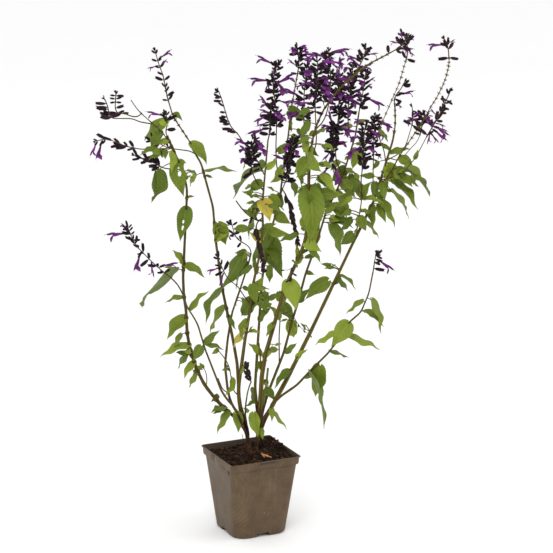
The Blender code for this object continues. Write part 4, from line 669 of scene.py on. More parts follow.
def start_clear(tube, parent, index):
    """The tube from where it clears its parent by 0.3 mm: at the parent's cut end or its side."""
    along = lengths(tube.points)
    if index == len(parent.points) - 1:
        straight_on = unit(parent.points[-1] - parent.points[-2])
        lean = math.acos(unit(tube.points[1] - tube.points[0]) @ straight_on)
        return tube.part((GAP + tube.radii[0] * math.sin(lean)) / math.cos(lean), along[-1])
    at = np.arange(0.0, along[-1], 0.1 * MM)
    points = across(at, along, tube.points)
    directions = tangents(points)
    fan = points[:, None] - parent.points[None]
    close = np.linalg.norm(fan, axis=2).argmin(axis=1)
    away = np.empty(len(at))
    for number, (point, direction, sample) in enumerate(zip(points, directions, close)):
        low, high = max(0, sample - 1), min(len(parent.points) - 1, sample + 1)
        line = unit(parent.points[high] - parent.points[low])
        out = point - parent.points[sample]
        out = out - line * (out @ line)
        reach = np.linalg.norm(out)
        lean = (direction @ out) / max(reach, 1e-9)
        sloped = math.sqrt(max(0.0, 1 - lean**2))
        away[number] = reach - parent.radii[sample] - SPIKE_FOOT * sloped
    clear = at[np.argmax(away > GAP)]
    return tube.part(clear, along[-1])


def trunk_of(stem_name):
    """The side of the crown whose trunk a stem grows from."""
    return "left" if STEMS[stem_name]["route"][0][0] < TRUNK_SPLIT else "right"


def lay_out():
    """Every stem, spike, flower and leaf in its place, clear of one another as in the solids."""
    room = Room()
    draws = np.random.default_rng(SEED)
    stems, spikes = {}, {}
    trunks = {side: trunk_tube(side) for side in TRUNKS}
    for side, trunk in trunks.items():
        take_tube(room, "crown_" + side, trunk)
    for name, stem in STEMS.items():
        stems[name] = [rooted(stem_tube(stem), trunks[trunk_of(name)]).straight()]
    for name, route, away, radius in SHOOTS:
        shoot, _, _ = branch_tube(stems[name], route, away, (radius * MM, 0.8 * radius * MM))
        stems[name].append(shoot)
    for name, tubes in stems.items():
        parting = tubes[0].parting()
        take_tube(room, "crown_" + trunk_of(name), tubes[0].part(0.0, parting))
        take_tube(room, name, tubes[0].part(parting, lengths(tubes[0].points)[-1]))
        for tube in tubes[1:]:
            take_tube(room, name, tube)
    for name, spike in SPIKES.items():
        tube, parent, index = branch_tube(
            stems[spike["stem"]], spike["route"], spike["away"], (SPIKE_FOOT, SPIKE_TIP))
        spikes[name] = start_clear(tube, parent, index)
        take_tube(room, name, spikes[name])
    flowers = {name: seat_flowers(name, SPIKES[name], tube, room, draws)
               for name, tube in spikes.items()}
    leaves = seat_leaves(stems, room, draws)
    return trunks, stems, spikes, flowers, leaves


# Stems that keep the stubs of spent whorls, and the row of pixels above which they do.
KNOBBLY = {
    "stem_left_tall": 150, "stem_centre_tall": 100, "stem_right_thick": 150, "stem_right_leafy": 132,
}
KNOBBLY_SHOOTS = (2, 3)

# Stems that are swollen where each leaf and spike leaves them.
KNOTTED = ("stem_left_outer", "stem_left_tall")

# How each stem is coloured, from 0 for dark brown wood to 1 for light olive, at its foot and tip.
STEM_TONES = {
    "stem_left_outer": (0.30, 0.10), "stem_left_tall": (0.35, 0.25),
    "stem_left_arching": (0.20, 0.10), "stem_middle_left": (0.35, 0.20),
    "stem_middle": (0.35, 0.45), "stem_centre_tall": (0.45, 0.50),
    "stem_centre_short": (0.50, 0.60), "stem_right_thick": (0.50, 0.20),
    "stem_right_tall": (0.30, 0.05), "stem_right_leafy": (0.55, 0.60),
    "stem_right_low": (0.30, 0.10), "stem_green_cut": (1.0, 1.0), "stem_dead_thin": (0.0, 0.0),
}

# Tufts of smaller leaves: their middle in pixels, how far they spread, how many, and their length.
TUFTS = (
    (246, 197, 9, 6, 14), (246, 213, 12, 7, 15), (157, 151, 4, 4, 20), (268, 205, 14, 8, 14),
    (262, 228, 14, 6, 17), (283, 200, 9, 5, 13), (292, 222, 14, 7, 17), (316, 206, 12, 7, 17),
    (334, 212, 12, 7, 16),
    (262, 262, 14, 5, 18), (300, 252, 12, 5, 18), (276, 190, 8, 5, 11), (304, 186, 9, 5, 13),
    (346, 208, 10, 5, 14), (377, 176, 10, 6, 12), (392, 172, 9, 5, 12), (300, 236, 10, 5, 17),
    (246, 252, 9, 4, 14), (243, 296, 8, 4, 12), (262, 300, 8, 4, 12), (246, 330, 6, 4, 9),
    (242, 372, 6, 4, 10), (228, 368, 6, 4, 9), (262, 378, 6, 4, 9), (272, 350, 6, 4, 9),
    (190, 350, 6, 4, 9), (196, 366, 6, 3, 9), (222, 412, 6, 3, 9), (246, 412, 5, 3, 8),
    (288, 318, 6, 3, 9), (308, 330, 5, 3, 8), (222, 226, 6, 3, 9), (190, 176, 6, 4, 9),
    (170, 118, 5, 4, 8), (356, 226, 8, 4, 12), (368, 214, 7, 4, 11), (330, 262, 8, 3, 11),
)

# Leaves that the insects have eaten: the pixel of the tip, and each hole along, across and wide.
EATEN = {
    (184, 197): ((0.34, 0.10, 0.15), (0.20, 0.0, 0.10), (0.20, 0.85, 0.20), (0.30, 0.95, 0.12)),
    (180, 242): ((0.40, 0.05, 0.10), (0.58, 0.15, 0.14)),
}
# Leaves that are twisted or spread out: the pixel of the tip, and by how much the width changes.
REWIDTH = {(324, 429): 0.5, (270, 222): 1.8, (142, 308): 0.5}
# Leaves that have turned yellow: the pixel of the foot, and how far, from 0 to 1.
AGED = {
    (223, 317): 1.0, (244, 330): 0.9, (260, 200): 0.9, (262, 240): 0.5, (269, 228): 0.15,
    (306, 189): 0.12, (258, 293): 0.25, (225, 412): 0.2, (185, 266): 0.15,
}
YELLOW_LEAF = [(262, 206), (266, 214)]

# Spikes in the thick of the bloom, and how many more open flowers each bears than the solids do.
FULL = {
    "spike_centre_top": 5, "spike_centre_left": 5, "spike_centre_low": 4, "spike_top_a": 9,
    "spike_top_b": 9, "spike_top_c": 11, "spike_top_d": 9, "spike_top_e": 7,
    "spike_right_tall": 3, "spike_hanging": 6,
    "spike_right_inner": 5, "spike_right_back": 3, "spike_right_b": 5,
    "spike_middle": 5, "spike_middle_low": 6, "spike_top_f": 1,
}

# Open flowers that only the fine model bears: the pixels where each calyx sits and corolla ends.
EXTRA = {
    "spike_right_c": (((436, 123), (445, 127)), ((434, 126), (447, 132)), ((432, 129), (446, 141)),
                      ((430, 131), (438, 143)), ((437, 120), (431, 127))),
    "spike_right_top": (((404, 44), (400, 31)), ((400, 47), (408, 53))),
    "spike_right_a": (((413, 118), (420, 113)),),
    "spike_left_top": (((161, 66), (167, 60)),),
    "spike_right_leafy": (((395, 104), (402, 108)),),
}

# The canopy's fuller parts: left, top, right and bottom pixel, how many leaves, and their length.
CANOPY = (
    (250, 172, 300, 215, 6, 19), (296, 168, 352, 215, 8, 19), (345, 165, 400, 205, 7, 17),
    (236, 205, 300, 250, 6, 20), (296, 205, 345, 240, 3, 20), (285, 105, 330, 150, 10, 14),
    (296, 140, 345, 172, 9, 16), (345, 140, 392, 172, 6, 15), (392, 145, 420, 185, 4, 16),
    (236, 255, 290, 300, 3, 18), (215, 340, 270, 400, 6, 11), (160, 112, 182, 142, 3, 12),
)

# Spikes whose calyces are set like the teeth of a comb: how long they are, the mm between
# whorls, and how much they lean along the stalk.
COMBS = {
    "spike_left_a": (1.12, 6.2, 0.0), "spike_left_b": (1.08, 6.6, 0.0),
    "spike_left_c": (1.12, 7.5, 1.1), "spike_left_d": (1.08, 5.5, 1.4),
    "spike_one_sided": (0.92, 7.0, 0.5), "spike_left_top": (0.9, 9.0, 0.5),
}

# Dry bits caught on the stems: the pixels where each starts and ends, and how many dead calyces;
# the one without any is a bare stick, as long as its pixels say.
DRY_BITS = (
    (244, 199, 249, 219, 5), (246, 203, 250, 209, 2), (284, 264, 289, 280, 4),
    (254, 287, 261, 298, 4), (250, 222, 235, 200, 0), (302, 319, 312, 336, 3),
    (232, 226, 240, 238, 3), (292, 262, 285, 270, 2), (251, 292, 255, 301, 2),
)
DRY_REACH = 0.035
STICK_REACH = 0.050

# The bare twig stub against the left trunk: its pixels, and how far before the axis it stands.
TWIG_STUB = ((246.5, 454), (245, 448), (243.5, 441), (242, 434))
TWIG_AWAY = -0.011

# The seeded draws behind every look that no table gives.
SEASON = np.random.default_rng(21)

# How much stouter than the solid's plain tubes the living stems are, at their foot and tip.
STOUT = (1.55, 1.20)


def linear(red, green, blue):
    """A colour of eight-bit steps as the linear light that a shader takes."""
    steps = np.array((red, green, blue)) / 255.0
    return (*np.where(steps > 0.04045, ((steps + 0.055) / 1.055) ** 2.4, steps / 12.92).tolist(), 1.0)


# ---------- surfaces ----------
def grid_faces(rows, columns, wrap):
    """Quads over points that run row by row; `wrap` joins each row's last point to its first."""
    low = np.arange(rows - 1)[:, None] * columns
    here = np.arange(columns if wrap else columns - 1)[None]
    after = (here + 1) % columns
    above = low + columns
    return np.stack((low + here, low + after, above + after, above + here), -1).reshape(-1, 4)


def fan_faces(centre, first, sides, outward):
    """Triangles from a centre point to a ring; `outward` is true where the ring turns against it."""
    here = first + np.arange(sides)
    after = first + (np.arange(sides) + 1) % sides
    middle = np.full(sides, centre)
    return np.stack((middle, after, here) if outward else (middle, here, after), -1)


def capped_faces(rows, sides):
    """Rings closed by a fan at either end, whose centres are the two points after the rings."""
    return [grid_faces(rows, sides, True), fan_faces(rows * sides, 0, sides, True),
            fan_faces(rows * sides + 1, (rows - 1) * sides, sides, False)]


def round_the(sides):
    """The angles of a ring's points."""
    return np.arange(sides) * 2 * math.pi / sides


class Bundle:
    """Points, faces and painted values of the surfaces that make one piece.

    The paint of a point is four numbers that its finish reads: its own tint, how far along and
    across the surface it lies, and which side it is on. Its tone is one more, such as its age.
    """

    def __init__(self):
        self.points, self.faces, self.paint, self.tone, self.count = [], [], [], [], 0

    def add(self, points, faces, paint, tone=0.0):
        points = np.reshape(points, (-1, 3))
        size = len(points)
        self.faces += [np.asarray(group) + self.count for group in faces if len(group)]
        self.points.append(points)
        columns = [np.broadcast_to(np.ravel(value), (size,)) for value in paint]
        self.paint.append(np.stack(columns, -1))
        self.tone.append(np.broadcast_to(np.ravel(tone), (size,)))
        self.count += size

    def piece(self, name, finish, slot, nodes, crease):
        """The bundle as one object at the origin, riding on the body, with its paint on it."""
        mesh = bpy.data.meshes.new(name)
        corners = np.concatenate([group.ravel() for group in self.faces])
        sizes = np.concatenate([np.full(len(group), group.shape[1]) for group in self.faces])
        mesh.vertices.add(self.count)
        mesh.vertices.foreach_set("co", np.concatenate(self.points).astype(np.float32).ravel())
        mesh.loops.add(len(corners))
        mesh.loops.foreach_set("vertex_index", corners.astype(np.int32))
        mesh.polygons.add(len(sizes))
        mesh.polygons.foreach_set("loop_start", (np.cumsum(sizes) - sizes).astype(np.int32))
        paint = mesh.attributes.new("paint", "FLOAT_COLOR", "POINT")
        paint.data.foreach_set("color", np.concatenate(self.paint).astype(np.float32).ravel())
        tone = mesh.attributes.new("tone", "FLOAT", "POINT")
        tone.data.foreach_set("value", np.concatenate(self.tone).astype(np.float32))
        mesh.update(calc_edges=True)
        mesh.validate()
        mesh.materials.append(finish)
        mesh.shade_smooth()
        mesh.set_sharp_from_angle(angle=math.radians(crease))
        made = bpy.data.objects.new(name, mesh)
        bpy.context.scene.collection.objects.link(made)
        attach(made, "root")
        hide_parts(*nodes)


def frames_along(points):
    """A left and an up at each point of a line, with as little turning as can be.

    The left of the first point is level, and each later left is the one before it with the part
    that runs along the line taken out.
    """
    ahead = tangents(points)
    left = np.empty_like(ahead)
    start = np.cross(UPRIGHT, ahead[0])
    if np.linalg.norm(start) < 0.1:
        start = np.cross((0.0, 1.0, 0.0), ahead[0])
    left[0] = unit(start)
    for step in range(1, len(points)):
        left[step] = unit(left[step - 1] - ahead[step] * (left[step - 1] @ ahead[step]))
    return left, np.cross(ahead, left)


def tube_surface(points, radii, sides, ridge=0.0):
    """A ring at each point of a line: the radius times one plus `ridge` times cos of four turns."""
    left, up = frames_along(points)
    angles = round_the(sides)
    swell = 1 + ridge * np.cos(4 * angles + 0.4)
    out = np.cos(angles)[:, None] * left[:, None] + np.sin(angles)[:, None] * up[:, None]
    return points[:, None] + out * (np.reshape(radii, (-1, 1)) * swell[None])[..., None]


def add_tube(bundle, points, radii, sides, tint=0.5, tone=0.0, ridge=0.0, kind=0.0):
    """A closed tube: rings along the line, with a fan at its foot and another at its tip."""
    rings = tube_surface(points, radii, sides, ridge)
    rows = len(points)
    along = lengths(points)
    body = np.vstack((rings.reshape(-1, 3), points[:1], points[-1:]))
    u = np.concatenate((np.repeat(along, sides), (0.0, along[-1])))
    v = np.concatenate((np.tile(np.arange(sides) / sides, rows), (0.0, 0.0)))
    tones = np.broadcast_to(tone, (rows,))
    tones = np.concatenate((np.repeat(tones, sides), tones[:1], tones[-1:]))
    bundle.add(body, capped_faces(rows, sides), (tint, u / 0.1, v, kind), tones)


def eased(tube, reach=0.006, step=0.0025):
    """The tube's line with its turns rounded: each sample is the mean of those within `reach`."""
    along = lengths(tube.points)
    count = max(4, int(along[-1] / step))
    at = np.linspace(0, along[-1], count)
    points = np.zeros((count, 3))
    shifts = np.linspace(-1, 1, 7)
    room = np.minimum(reach, np.minimum(at, along[-1] - at))
    for shift in shifts:
        points += across(at + shift * room, along, tube.points) / len(shifts)
    return at, points, np.interp(at, along, tube.radii)


def waves(points, size, seed, octaves=3):
    """Soft noise from -1 to 1: a sum of sines whose directions and starts come from the seed.

    Each octave has five sines, each 1.9 times as close and 1.8 times as low as in the one before.
    """
    draws = np.random.default_rng(seed)
    total = np.zeros(points.shape[:-1])
    for octave in range(octaves):
        for _ in range(5):
            way = unit(draws.normal(size=points.shape[-1])) * (2 * math.pi / size) * 1.9**octave
            total += np.sin(points @ way + draws.uniform(0, 6.28)) * 0.34 / 1.8**octave
    return total / 1.3


# ---------- leaves ----------
STALK_RADIUS = 0.00065
STALK_LEAST = 0.0012


def add_leaf(bundle, foot, tip, width, bank, tint, age, holes=()):
    """A leaf as two sheets 0.3 mm apart with a wall round their edge.

    Along the midrib `u` runs from 0 to 1, and `v` from -1 to 1 across. The half width is the
    solid's own profile, and saw teeth that lean to the tip add up to 3% of it at the edge. The
    sheet arches and folds as the solid does. Between the side veins, which leave the midrib where
    u less 0.3 of |v| is a whole seventh, it is raised as a pillow, and its edge waves.
    """
    axis, left, normal, breadth = leaf_frame(foot, tip, width, bank)
    length = np.linalg.norm(tip - foot)
    teeth = int(np.clip(length / 0.0036, 5, 15))
    rows = 3 * teeth * (2 if holes else 1) + 1
    columns = 27 if holes else 11 if length > 0.03 else 7
    u = np.linspace(0, 1, rows)[:, None]
    v = np.linspace(-1, 1, columns)[None]
    side = np.abs(v)
    half = 0.5 * breadth * 2.8 * (u + 0.002) ** 0.5 * (1 - u) ** 1.38
    saw = np.minimum(1.0, 1.5 * ((u * teeth + 1e-9) % 1.0))
    edge = 1 + (0.06 * saw - 0.03) * side**3 * np.sin(math.pi * u) ** 0.5
    lobe = length * 0.09 * side**1.5 * np.exp(-((u / 0.13) ** 2))
    lean = length * 0.007 * saw * side**3
    phase = tint * 40.0
    q = 7 * (u - 0.30 * side)
    pillow = 0.010 * breadth * np.abs(np.sin(math.pi * q)) * np.sin(math.pi * side) ** 0.6
    curl = 0.10 * breadth * side**2 * np.sin(2 * math.pi * 1.7 * u + phase) * np.sin(math.pi * u)
    arch = length * LEAF_ARCH * u * (1 - u) ** 1.2
    sway = 0.06 * length * np.sin(math.pi * u) * math.sin(phase * 1.7)
    groove = -0.010 * breadth * np.exp(-((side / 0.10) ** 2))
    fold = LEAF_FOLD + 0.12 + 0.34 * math.sin(phase * 2.3)
    up = (arch + fold * half * side - 0.16 * half * side**2 + pillow + curl
          + groove * np.sin(math.pi * u))
    sheet = (foot + axis * (u * length - lobe + lean)[..., None]
             + left * (half * v * edge + sway)[..., None] + normal * up[..., None])
    thick = 0.00015 * (1 + 2.0 * np.exp(-((side / 0.08) ** 2)) * (1 - u))
    top = sheet + normal * thick[..., None]
    under = sheet - normal * thick[..., None]
    quads = grid_faces(rows, columns, False)
    kept = np.arange(rows * columns)
    if holes:
        middle_u = (u[:-1] + u[1:]) / 2 + 0 * v[:, :-1]
        middle_v = (v[:, :-1] + v[:, 1:]) / 2 + 0 * u[:-1]
        solid = np.ones(middle_u.shape, bool)
        for at, off, wide in holes:
            solid &= np.hypot((middle_u - at) * 2.0, (middle_v - off) * 0.8) > wide
        kept, order = np.unique(quads[solid.ravel()], return_inverse=True)
        quads = order.reshape(-1, 4)
    size = len(kept)
    edges = np.concatenate([quads[:, [0, 1]], quads[:, [1, 2]], quads[:, [2, 3]], quads[:, [3, 0]]])
    code = edges.min(1) * size + edges.max(1)
    _, first, counts = np.unique(code, return_index=True, return_counts=True)
    rim = edges[first[counts == 1]]
    walls = np.stack((rim[:, 1] + size, rim[:, 0] + size, rim[:, 0], rim[:, 1]), -1)
    paint_u = np.tile(np.broadcast_to(u, sheet.shape[:2]).ravel()[kept], 2)
    paint_v = np.tile(np.broadcast_to(v * 0.5 + 0.5, sheet.shape[:2]).ravel()[kept], 2)
    kind = np.repeat((0.0, 1.0), size)
    bundle.add(np.concatenate((top.reshape(-1, 3)[kept], under.reshape(-1, 3)[kept])),
               [quads[:, ::-1], quads + size, walls], (tint, paint_u, paint_v, kind), age)


def add_stalk(bundle, start, end, axis, tint):
    """A leaf's stalk: a tube from inside the stem to the blade's foot, ending along the midrib."""
    reach = np.linalg.norm(end - start)
    if reach < STALK_LEAST:
        return
    t = np.linspace(0, 1, 7)[:, None]
    bend = start + (end - start) * 0.6 + UPRIGHT * 0.16 * reach
    stop = end + axis * min(0.002, reach)
    line = start * (1 - t) ** 2 + 2 * bend * t * (1 - t) + stop * t**2
    add_tube(bundle, line, STALK_RADIUS * np.linspace(1.25, 0.8, 7), 5, tint, 0.0, kind=1.0)


# ---------- calyces and flowers ----------
# Each ring of the calyx: how far along it, and how wide.
CALYX_RINGS = ((0.0, 0.034), (0.13, 0.038), (0.20, 0.105), (0.36, 0.160), (0.60, 0.182),
               (0.84, 0.160), (0.96, 0.138))
CALYX_SIDES = 6
CALYX_TEETH = np.array((0.15, -0.03, 0.10, 0.0, 0.10, -0.03))


def calyx_template():
    """One calyx of unit length along its third axis: stalk, bell, toothed mouth and an inside that its
    finish paints dark as shade.

    Rings of six points widen from the stalk to the mouth, whose upper point and two lower ones run
    on as teeth. The last ring turns back inside, and a fan closes it on a point deep in the bell.
    """
    angles = round_the(CALYX_SIDES) + math.pi / 2
    rings = []
    for height, wide in CALYX_RINGS:
        rise = (CALYX_TEETH - 0.05 * (height - 0.5)) * (height > 0.9)
        rings.append(np.stack((0.86 * wide * np.cos(angles),
                               wide * np.sin(angles) + 0.10 * height**2, height + rise), -1))
    mouth = rings[-1].copy()
    mouth[:, :2] *= 0.74
    mouth[:, 1] += 0.018
    mouth[:, 2] = 0.84
    rings.append(mouth)
    points = np.vstack((*rings, ((0.0, 0.06, 0.60),)))
    rows = len(rings)
    u = np.concatenate((np.repeat([ring[0] for ring in CALYX_RINGS] + [1.15], CALYX_SIDES), (1.2,)))
    faces = [grid_faces(rows, CALYX_SIDES, True),
             fan_faces(rows * CALYX_SIDES, (rows - 1) * CALYX_SIDES, CALYX_SIDES, False),
             np.array((tuple(range(CALYX_SIDES - 1, -1, -1)),))]
    v = np.concatenate((np.tile(np.arange(CALYX_SIDES) / CALYX_SIDES, rows), (0.0,)))
    return points, faces, u, v


CALYX = calyx_template()


def add_calyces(bundle, feet, directions, ups, sizes, tints, tones):
    """Copies of the calyx: its axes become left, above and the direction, times the size."""
    points, faces, u, v = CALYX
    feet, directions, ups = np.array(feet), unit(np.array(directions)), np.array(ups)
    left = unit(np.cross(ups, directions) + 1e-9)
    above = np.cross(directions, left)
    axes = np.stack((left, above, directions), 1) * np.reshape(sizes, (-1, 1, 1))
    placed = feet[:, None] + np.einsum("pk,nkc->npc", points, axes)
    count, size = len(feet), len(points)
    shift = np.arange(count)[:, None, None] * size
    groups = [(group[None] + shift).reshape(-1, group.shape[1]) for group in faces]
    bundle.add(placed, groups, (np.repeat(tints, size), np.tile(u, count), np.tile(v, count), 0.0),
               np.repeat(tones, size))


def add_flower(bundle, line, tint):
    """An open flower: a tube that swells to its mouth, a hood above and a lobed lip below.

    The tube's rings follow the middle line, higher than wide. The hood is a closed tube from the
    mouth's upper half to the flower's end, and the lip is two sheets that curve down from the
    mouth's lower edge: half width as a sine along it, with a notch each side of its middle lobe.
    """
    part = np.linspace(0, 1, len(line))
    length = lengths(line)[-1]
    scale = length / 0.036
    ahead = unit(line[-1] - line[0])
    left = unit(np.cross(UPRIGHT, ahead))
    above = np.cross(ahead, left)
    mm = 0.00122 * scale
    angles = round_the(9)
    ring = np.cos(angles)[:, None] * left * 0.82 + np.sin(angles)[:, None] * above
    at = np.array((0.22, 0.32, 0.42, 0.52, 0.62, 0.70, 0.735))
    wide = np.array((0.95, 1.1, 1.35, 1.7, 2.05, 2.2, 2.3)) * mm
    sag = np.array((0, 0, 0.1, 0.3, 0.4, 0.3, 0.2)) * mm
    centres = across(at, part, line) - above * sag[:, None]
    rings = centres[:, None] + ring[None] * wide[:, None, None]
    inner = centres[-1] - ahead * 0.6 * mm + ring * (1.85 * mm)
    deep = centres[-1] - ahead * 6.0 * mm
    points = np.vstack((rings.reshape(-1, 3), inner, deep, centres[:1]))
    rows = len(at) + 1
    faces = [grid_faces(rows, 9, True), fan_faces(rows * 9, (rows - 1) * 9, 9, False),
             fan_faces(rows * 9 + 1, 0, 9, True)]
    u = np.concatenate((np.repeat((*at, 0.60), 9), (0.3, 0.2)))
    v = np.concatenate((np.tile(np.arange(9) / 9, rows), (0.0, 0.0)))
    bundle.add(points, faces, (tint, u, v, 0.0))
    hood_at = np.array((0.66, 0.74, 0.81, 0.88, 0.94, 0.985))
    rise = np.array((0.8, 1.1, 1.3, 1.3, 1.3, 1.7)) * mm
    hood_line = across(hood_at, part, line) + above * rise[:, None]
    add_tube(bundle, hood_line, np.array((1.25, 1.4, 1.4, 1.3, 1.2, 0.8)) * mm, 7, tint, 0.0)
    style = hood_line[-2] + (ahead * np.array((0, 2.0, 3.8, 5.2))[:, None]
                             + above * np.array((0.3, 0.5, 0.2, -0.7))[:, None]) * mm
    add_tube(bundle, style, np.array((0.35, 0.32, 0.28, 0.2)) * mm, 3, tint, 0.0)
    s = np.linspace(0, 1, 7)[:, None]
    w = np.linspace(-1, 1, 7)[None]
    start = centres[-1] - above * 1.6 * mm
    bend = 0.35 + 1.35 * s
    reach = 7.5 * mm
    run = reach * (np.sin(bend) - np.sin(0.35)) / 1.35
    drop = reach * (np.cos(0.35) - np.cos(bend)) / 1.35
    half = (1.3 + 2.5 * np.sin(math.pi * s**1.3) ** 0.8 + 0.3) * mm * (1 - 0.55 * s**6)
    lobes = 1 + 0.18 * np.cos(3 * math.pi * w) * s
    cup = 1.1 * mm * w**2 * (1 - s * 0.6)
    sheet = (start + ahead * (run * lobes)[..., None] - above * (drop * lobes)[..., None]
             + left * (half * w)[..., None] + above * cup[..., None])
    thick = unit(ahead + above * 0.8) * 0.00022
    both = np.concatenate(((sheet + thick).reshape(-1, 3), (sheet - thick).reshape(-1, 3)))
    quads = grid_faces(7, 7, False)
    six = np.arange(6)
    border = np.concatenate((six, six * 7 + 6, 48 - six, 42 - six * 7))
    after = np.roll(border, -1)
    walls = np.stack((border, after, after + 49, border + 49), -1)
    u = np.tile(np.broadcast_to(0.75 + 0.3 * s, (7, 7)).ravel(), 2)
    v = np.tile(np.broadcast_to(w * 0.5 + 0.5, (7, 7)).ravel(), 2)
    bundle.add(both, [quads[:, ::-1], quads + 49, walls], (tint, u, v, 0.0))


# ---------- finishes ----------
class Finish:
    """A material while it is put together: its node tree and short ways to add to it."""

    def __init__(self, tree):
        self.tree = tree

    def add(self, kind, **settings):
        node = self.tree.nodes.new(kind)
        for key, value in settings.items():
            setattr(node, key, value)
        return node

    def feed(self, socket, value):
        if isinstance(value, bpy.types.NodeSocket):
            self.tree.links.new(value, socket)
        else:
            socket.default_value = value

    def sum(self, operation, *values, clamp=False):
        node = self.add("ShaderNodeMath", operation=operation, use_clamp=clamp)
        for socket, value in zip(node.inputs, values):
            self.feed(socket, value)
        return node.outputs[0]

    def blend(self, factor, first, second, mode="MIX"):
        node = self.add("ShaderNodeMix", data_type="RGBA", blend_type=mode)
        self.feed(node.inputs["Factor"], factor)
        self.feed(node.inputs[6], first)
        self.feed(node.inputs[7], second)
        return node.outputs[2]

    def step(self, value, low, high):
        """Nought below `low` and one above `high`, with a smooth rise between them."""
        node = self.add("ShaderNodeMapRange", interpolation_type="SMOOTHSTEP")
        for socket, number in zip(node.inputs, (value, low, high)):
            self.feed(socket, number)
        return node.outputs[0]

    def spots(self, where, scale, detail=3.0, roughness=0.55):
        node = self.add("ShaderNodeTexNoise")
        self.feed(node.inputs["Vector"], where)
        for label, number in (("Scale", scale), ("Detail", detail), ("Roughness", roughness)):
            node.inputs[label].default_value = number
        return node.outputs["Fac"]

    def cells(self, where, scale, feature="DISTANCE_TO_EDGE"):
        node = self.add("ShaderNodeTexVoronoi", feature=feature)
        self.feed(node.inputs["Vector"], where)
        node.inputs["Scale"].default_value = scale
        return node.outputs[0]

    def here(self, stretch=(1.0, 1.0, 1.0)):
        place_node = self.add("ShaderNodeTexCoord")
        mapping = self.add("ShaderNodeMapping")
        mapping.inputs["Scale"].default_value = stretch
        self.feed(mapping.inputs["Vector"], place_node.outputs["Object"])
        return mapping.outputs[0]

    def painted(self):
        """The tint, the way along and across, the side of the sheet, and the tone."""
        paint = self.add("ShaderNodeAttribute", attribute_name="paint")
        parts = self.add("ShaderNodeSeparateColor")
        self.feed(parts.inputs[0], paint.outputs["Color"])
        tone = self.add("ShaderNodeAttribute", attribute_name="tone")
        return (*parts.outputs[:3], paint.outputs["Alpha"], tone.outputs["Fac"])

    def over(self, colour, other, mask, share):
        """A colour with another over it, by a share of the mask."""
        return self.blend(self.sum("MULTIPLY", mask, share), colour, other)

    def ridges(self, value, count):
        """The absolute sine of `count` half turns over a value from 0 to 1."""
        return self.sum("ABSOLUTE", self.sum("SINE", self.sum("MULTIPLY", value, count * math.pi)))

    def dress(self, skin, colour, height, strength, distance):
        """A shader's colour, and the bumps that a height raises on it."""
        bump = self.add("ShaderNodeBump")
        bump.inputs["Strength"].default_value = strength
        bump.inputs["Distance"].default_value = distance
        self.feed(bump.inputs["Height"], height)
        self.feed(skin.inputs["Normal"], bump.outputs[0])
        self.feed(skin.inputs["Base Color"], colour)

    def let_through(self, skin, colour, share):
        """A share of the light passes through a thin blade or petal, in its own colour."""
        through = self.add("ShaderNodeBsdfTranslucent")
        self.feed(through.inputs["Color"], colour)
        both = self.add("ShaderNodeMixShader")
        both.inputs["Fac"].default_value = share
        self.feed(both.inputs[1], skin.outputs[0])
        self.feed(both.inputs[2], through.outputs[0])
        self.feed(self.tree.nodes["Material Output"].inputs["Surface"], both.outputs[0])

    def use(self, effect, *values):
        node = self.add("ShaderNodeGroup")
        node.node_tree = effect
        for socket, value in zip(node.inputs, values):
            self.feed(socket, value)
        return node.outputs[0]


SOCKETS = {"specular": "Specular IOR Level", "sheen": "Sheen Weight", "sheen_rough": "Sheen Roughness"}


def finish(name, roughness, **sockets):
    """A new material with its one surface shader, which is returned beside its helper."""
    made = bpy.data.materials.new(name)
    made.use_nodes = True
    skin = made.node_tree.nodes["Principled BSDF"]
    skin.inputs["Roughness"].default_value = roughness
    for label, value in sockets.items():
        skin.inputs[SOCKETS[label]].default_value = value
    return made, Finish(made.node_tree), skin


def effect(name, inputs, output):
    """A node group with the given inputs and one output, for a look that several finishes share."""
    tree = bpy.data.node_groups.new(name, "ShaderNodeTree")
    for label, kind in inputs:
        tree.interface.new_socket(label, in_out="INPUT", socket_type=kind)
    tree.interface.new_socket(output[0], in_out="OUTPUT", socket_type=output[1])
    helper = Finish(tree)
    return tree, helper, helper.add("NodeGroupInput").outputs, helper.add("NodeGroupOutput").inputs[0]


COLOUR, NUMBER, ARROW = "NodeSocketColor", "NodeSocketFloat", "NodeSocketVector"


def mottle_effect():
    """Two sizes of soft spots from one colour towards another: the wear that all plants show."""
    tree, make, given, result = effect(
        "mottle", (("Where", ARROW), ("First", COLOUR), ("Second", COLOUR), ("Amount", NUMBER)),
        ("Colour", COLOUR))
    wide = make.spots(given[0], 60.0)
    fine = make.spots(given[0], 420.0, 4.0)
    both = make.sum("ADD", make.sum("MULTIPLY", wide, 0.6), make.sum("MULTIPLY", fine, 0.4))
    mask = make.sum("MULTIPLY", make.step(both, 0.38, 0.62), given[3])
    make.feed(result, make.blend(mask, given[1], given[2]))
    return tree


def grain_effect():
    """The height of fine long grain: noise drawn out along the way that `Where` is squeezed."""
    tree, make, given, result = effect("grain", (("Where", ARROW),), ("Height", NUMBER))
    long = make.spots(given[0], 300.0, 5.0, 0.65)
    pits = make.cells(given[0], 700.0)
    make.feed(result, make.sum("ADD", long, make.sum("MULTIPLY", pits, 0.5)))
    return tree


MOTTLE = mottle_effect()
GRAIN = grain_effect()


def stalk_colour(make, here, tint):
    """Leaf stalks: mauve brown to olive, each by its tint."""
    return make.use(MOTTLE, here, linear(88, 60, 48), linear(98, 98, 48), make.step(tint, 0.3, 0.9))


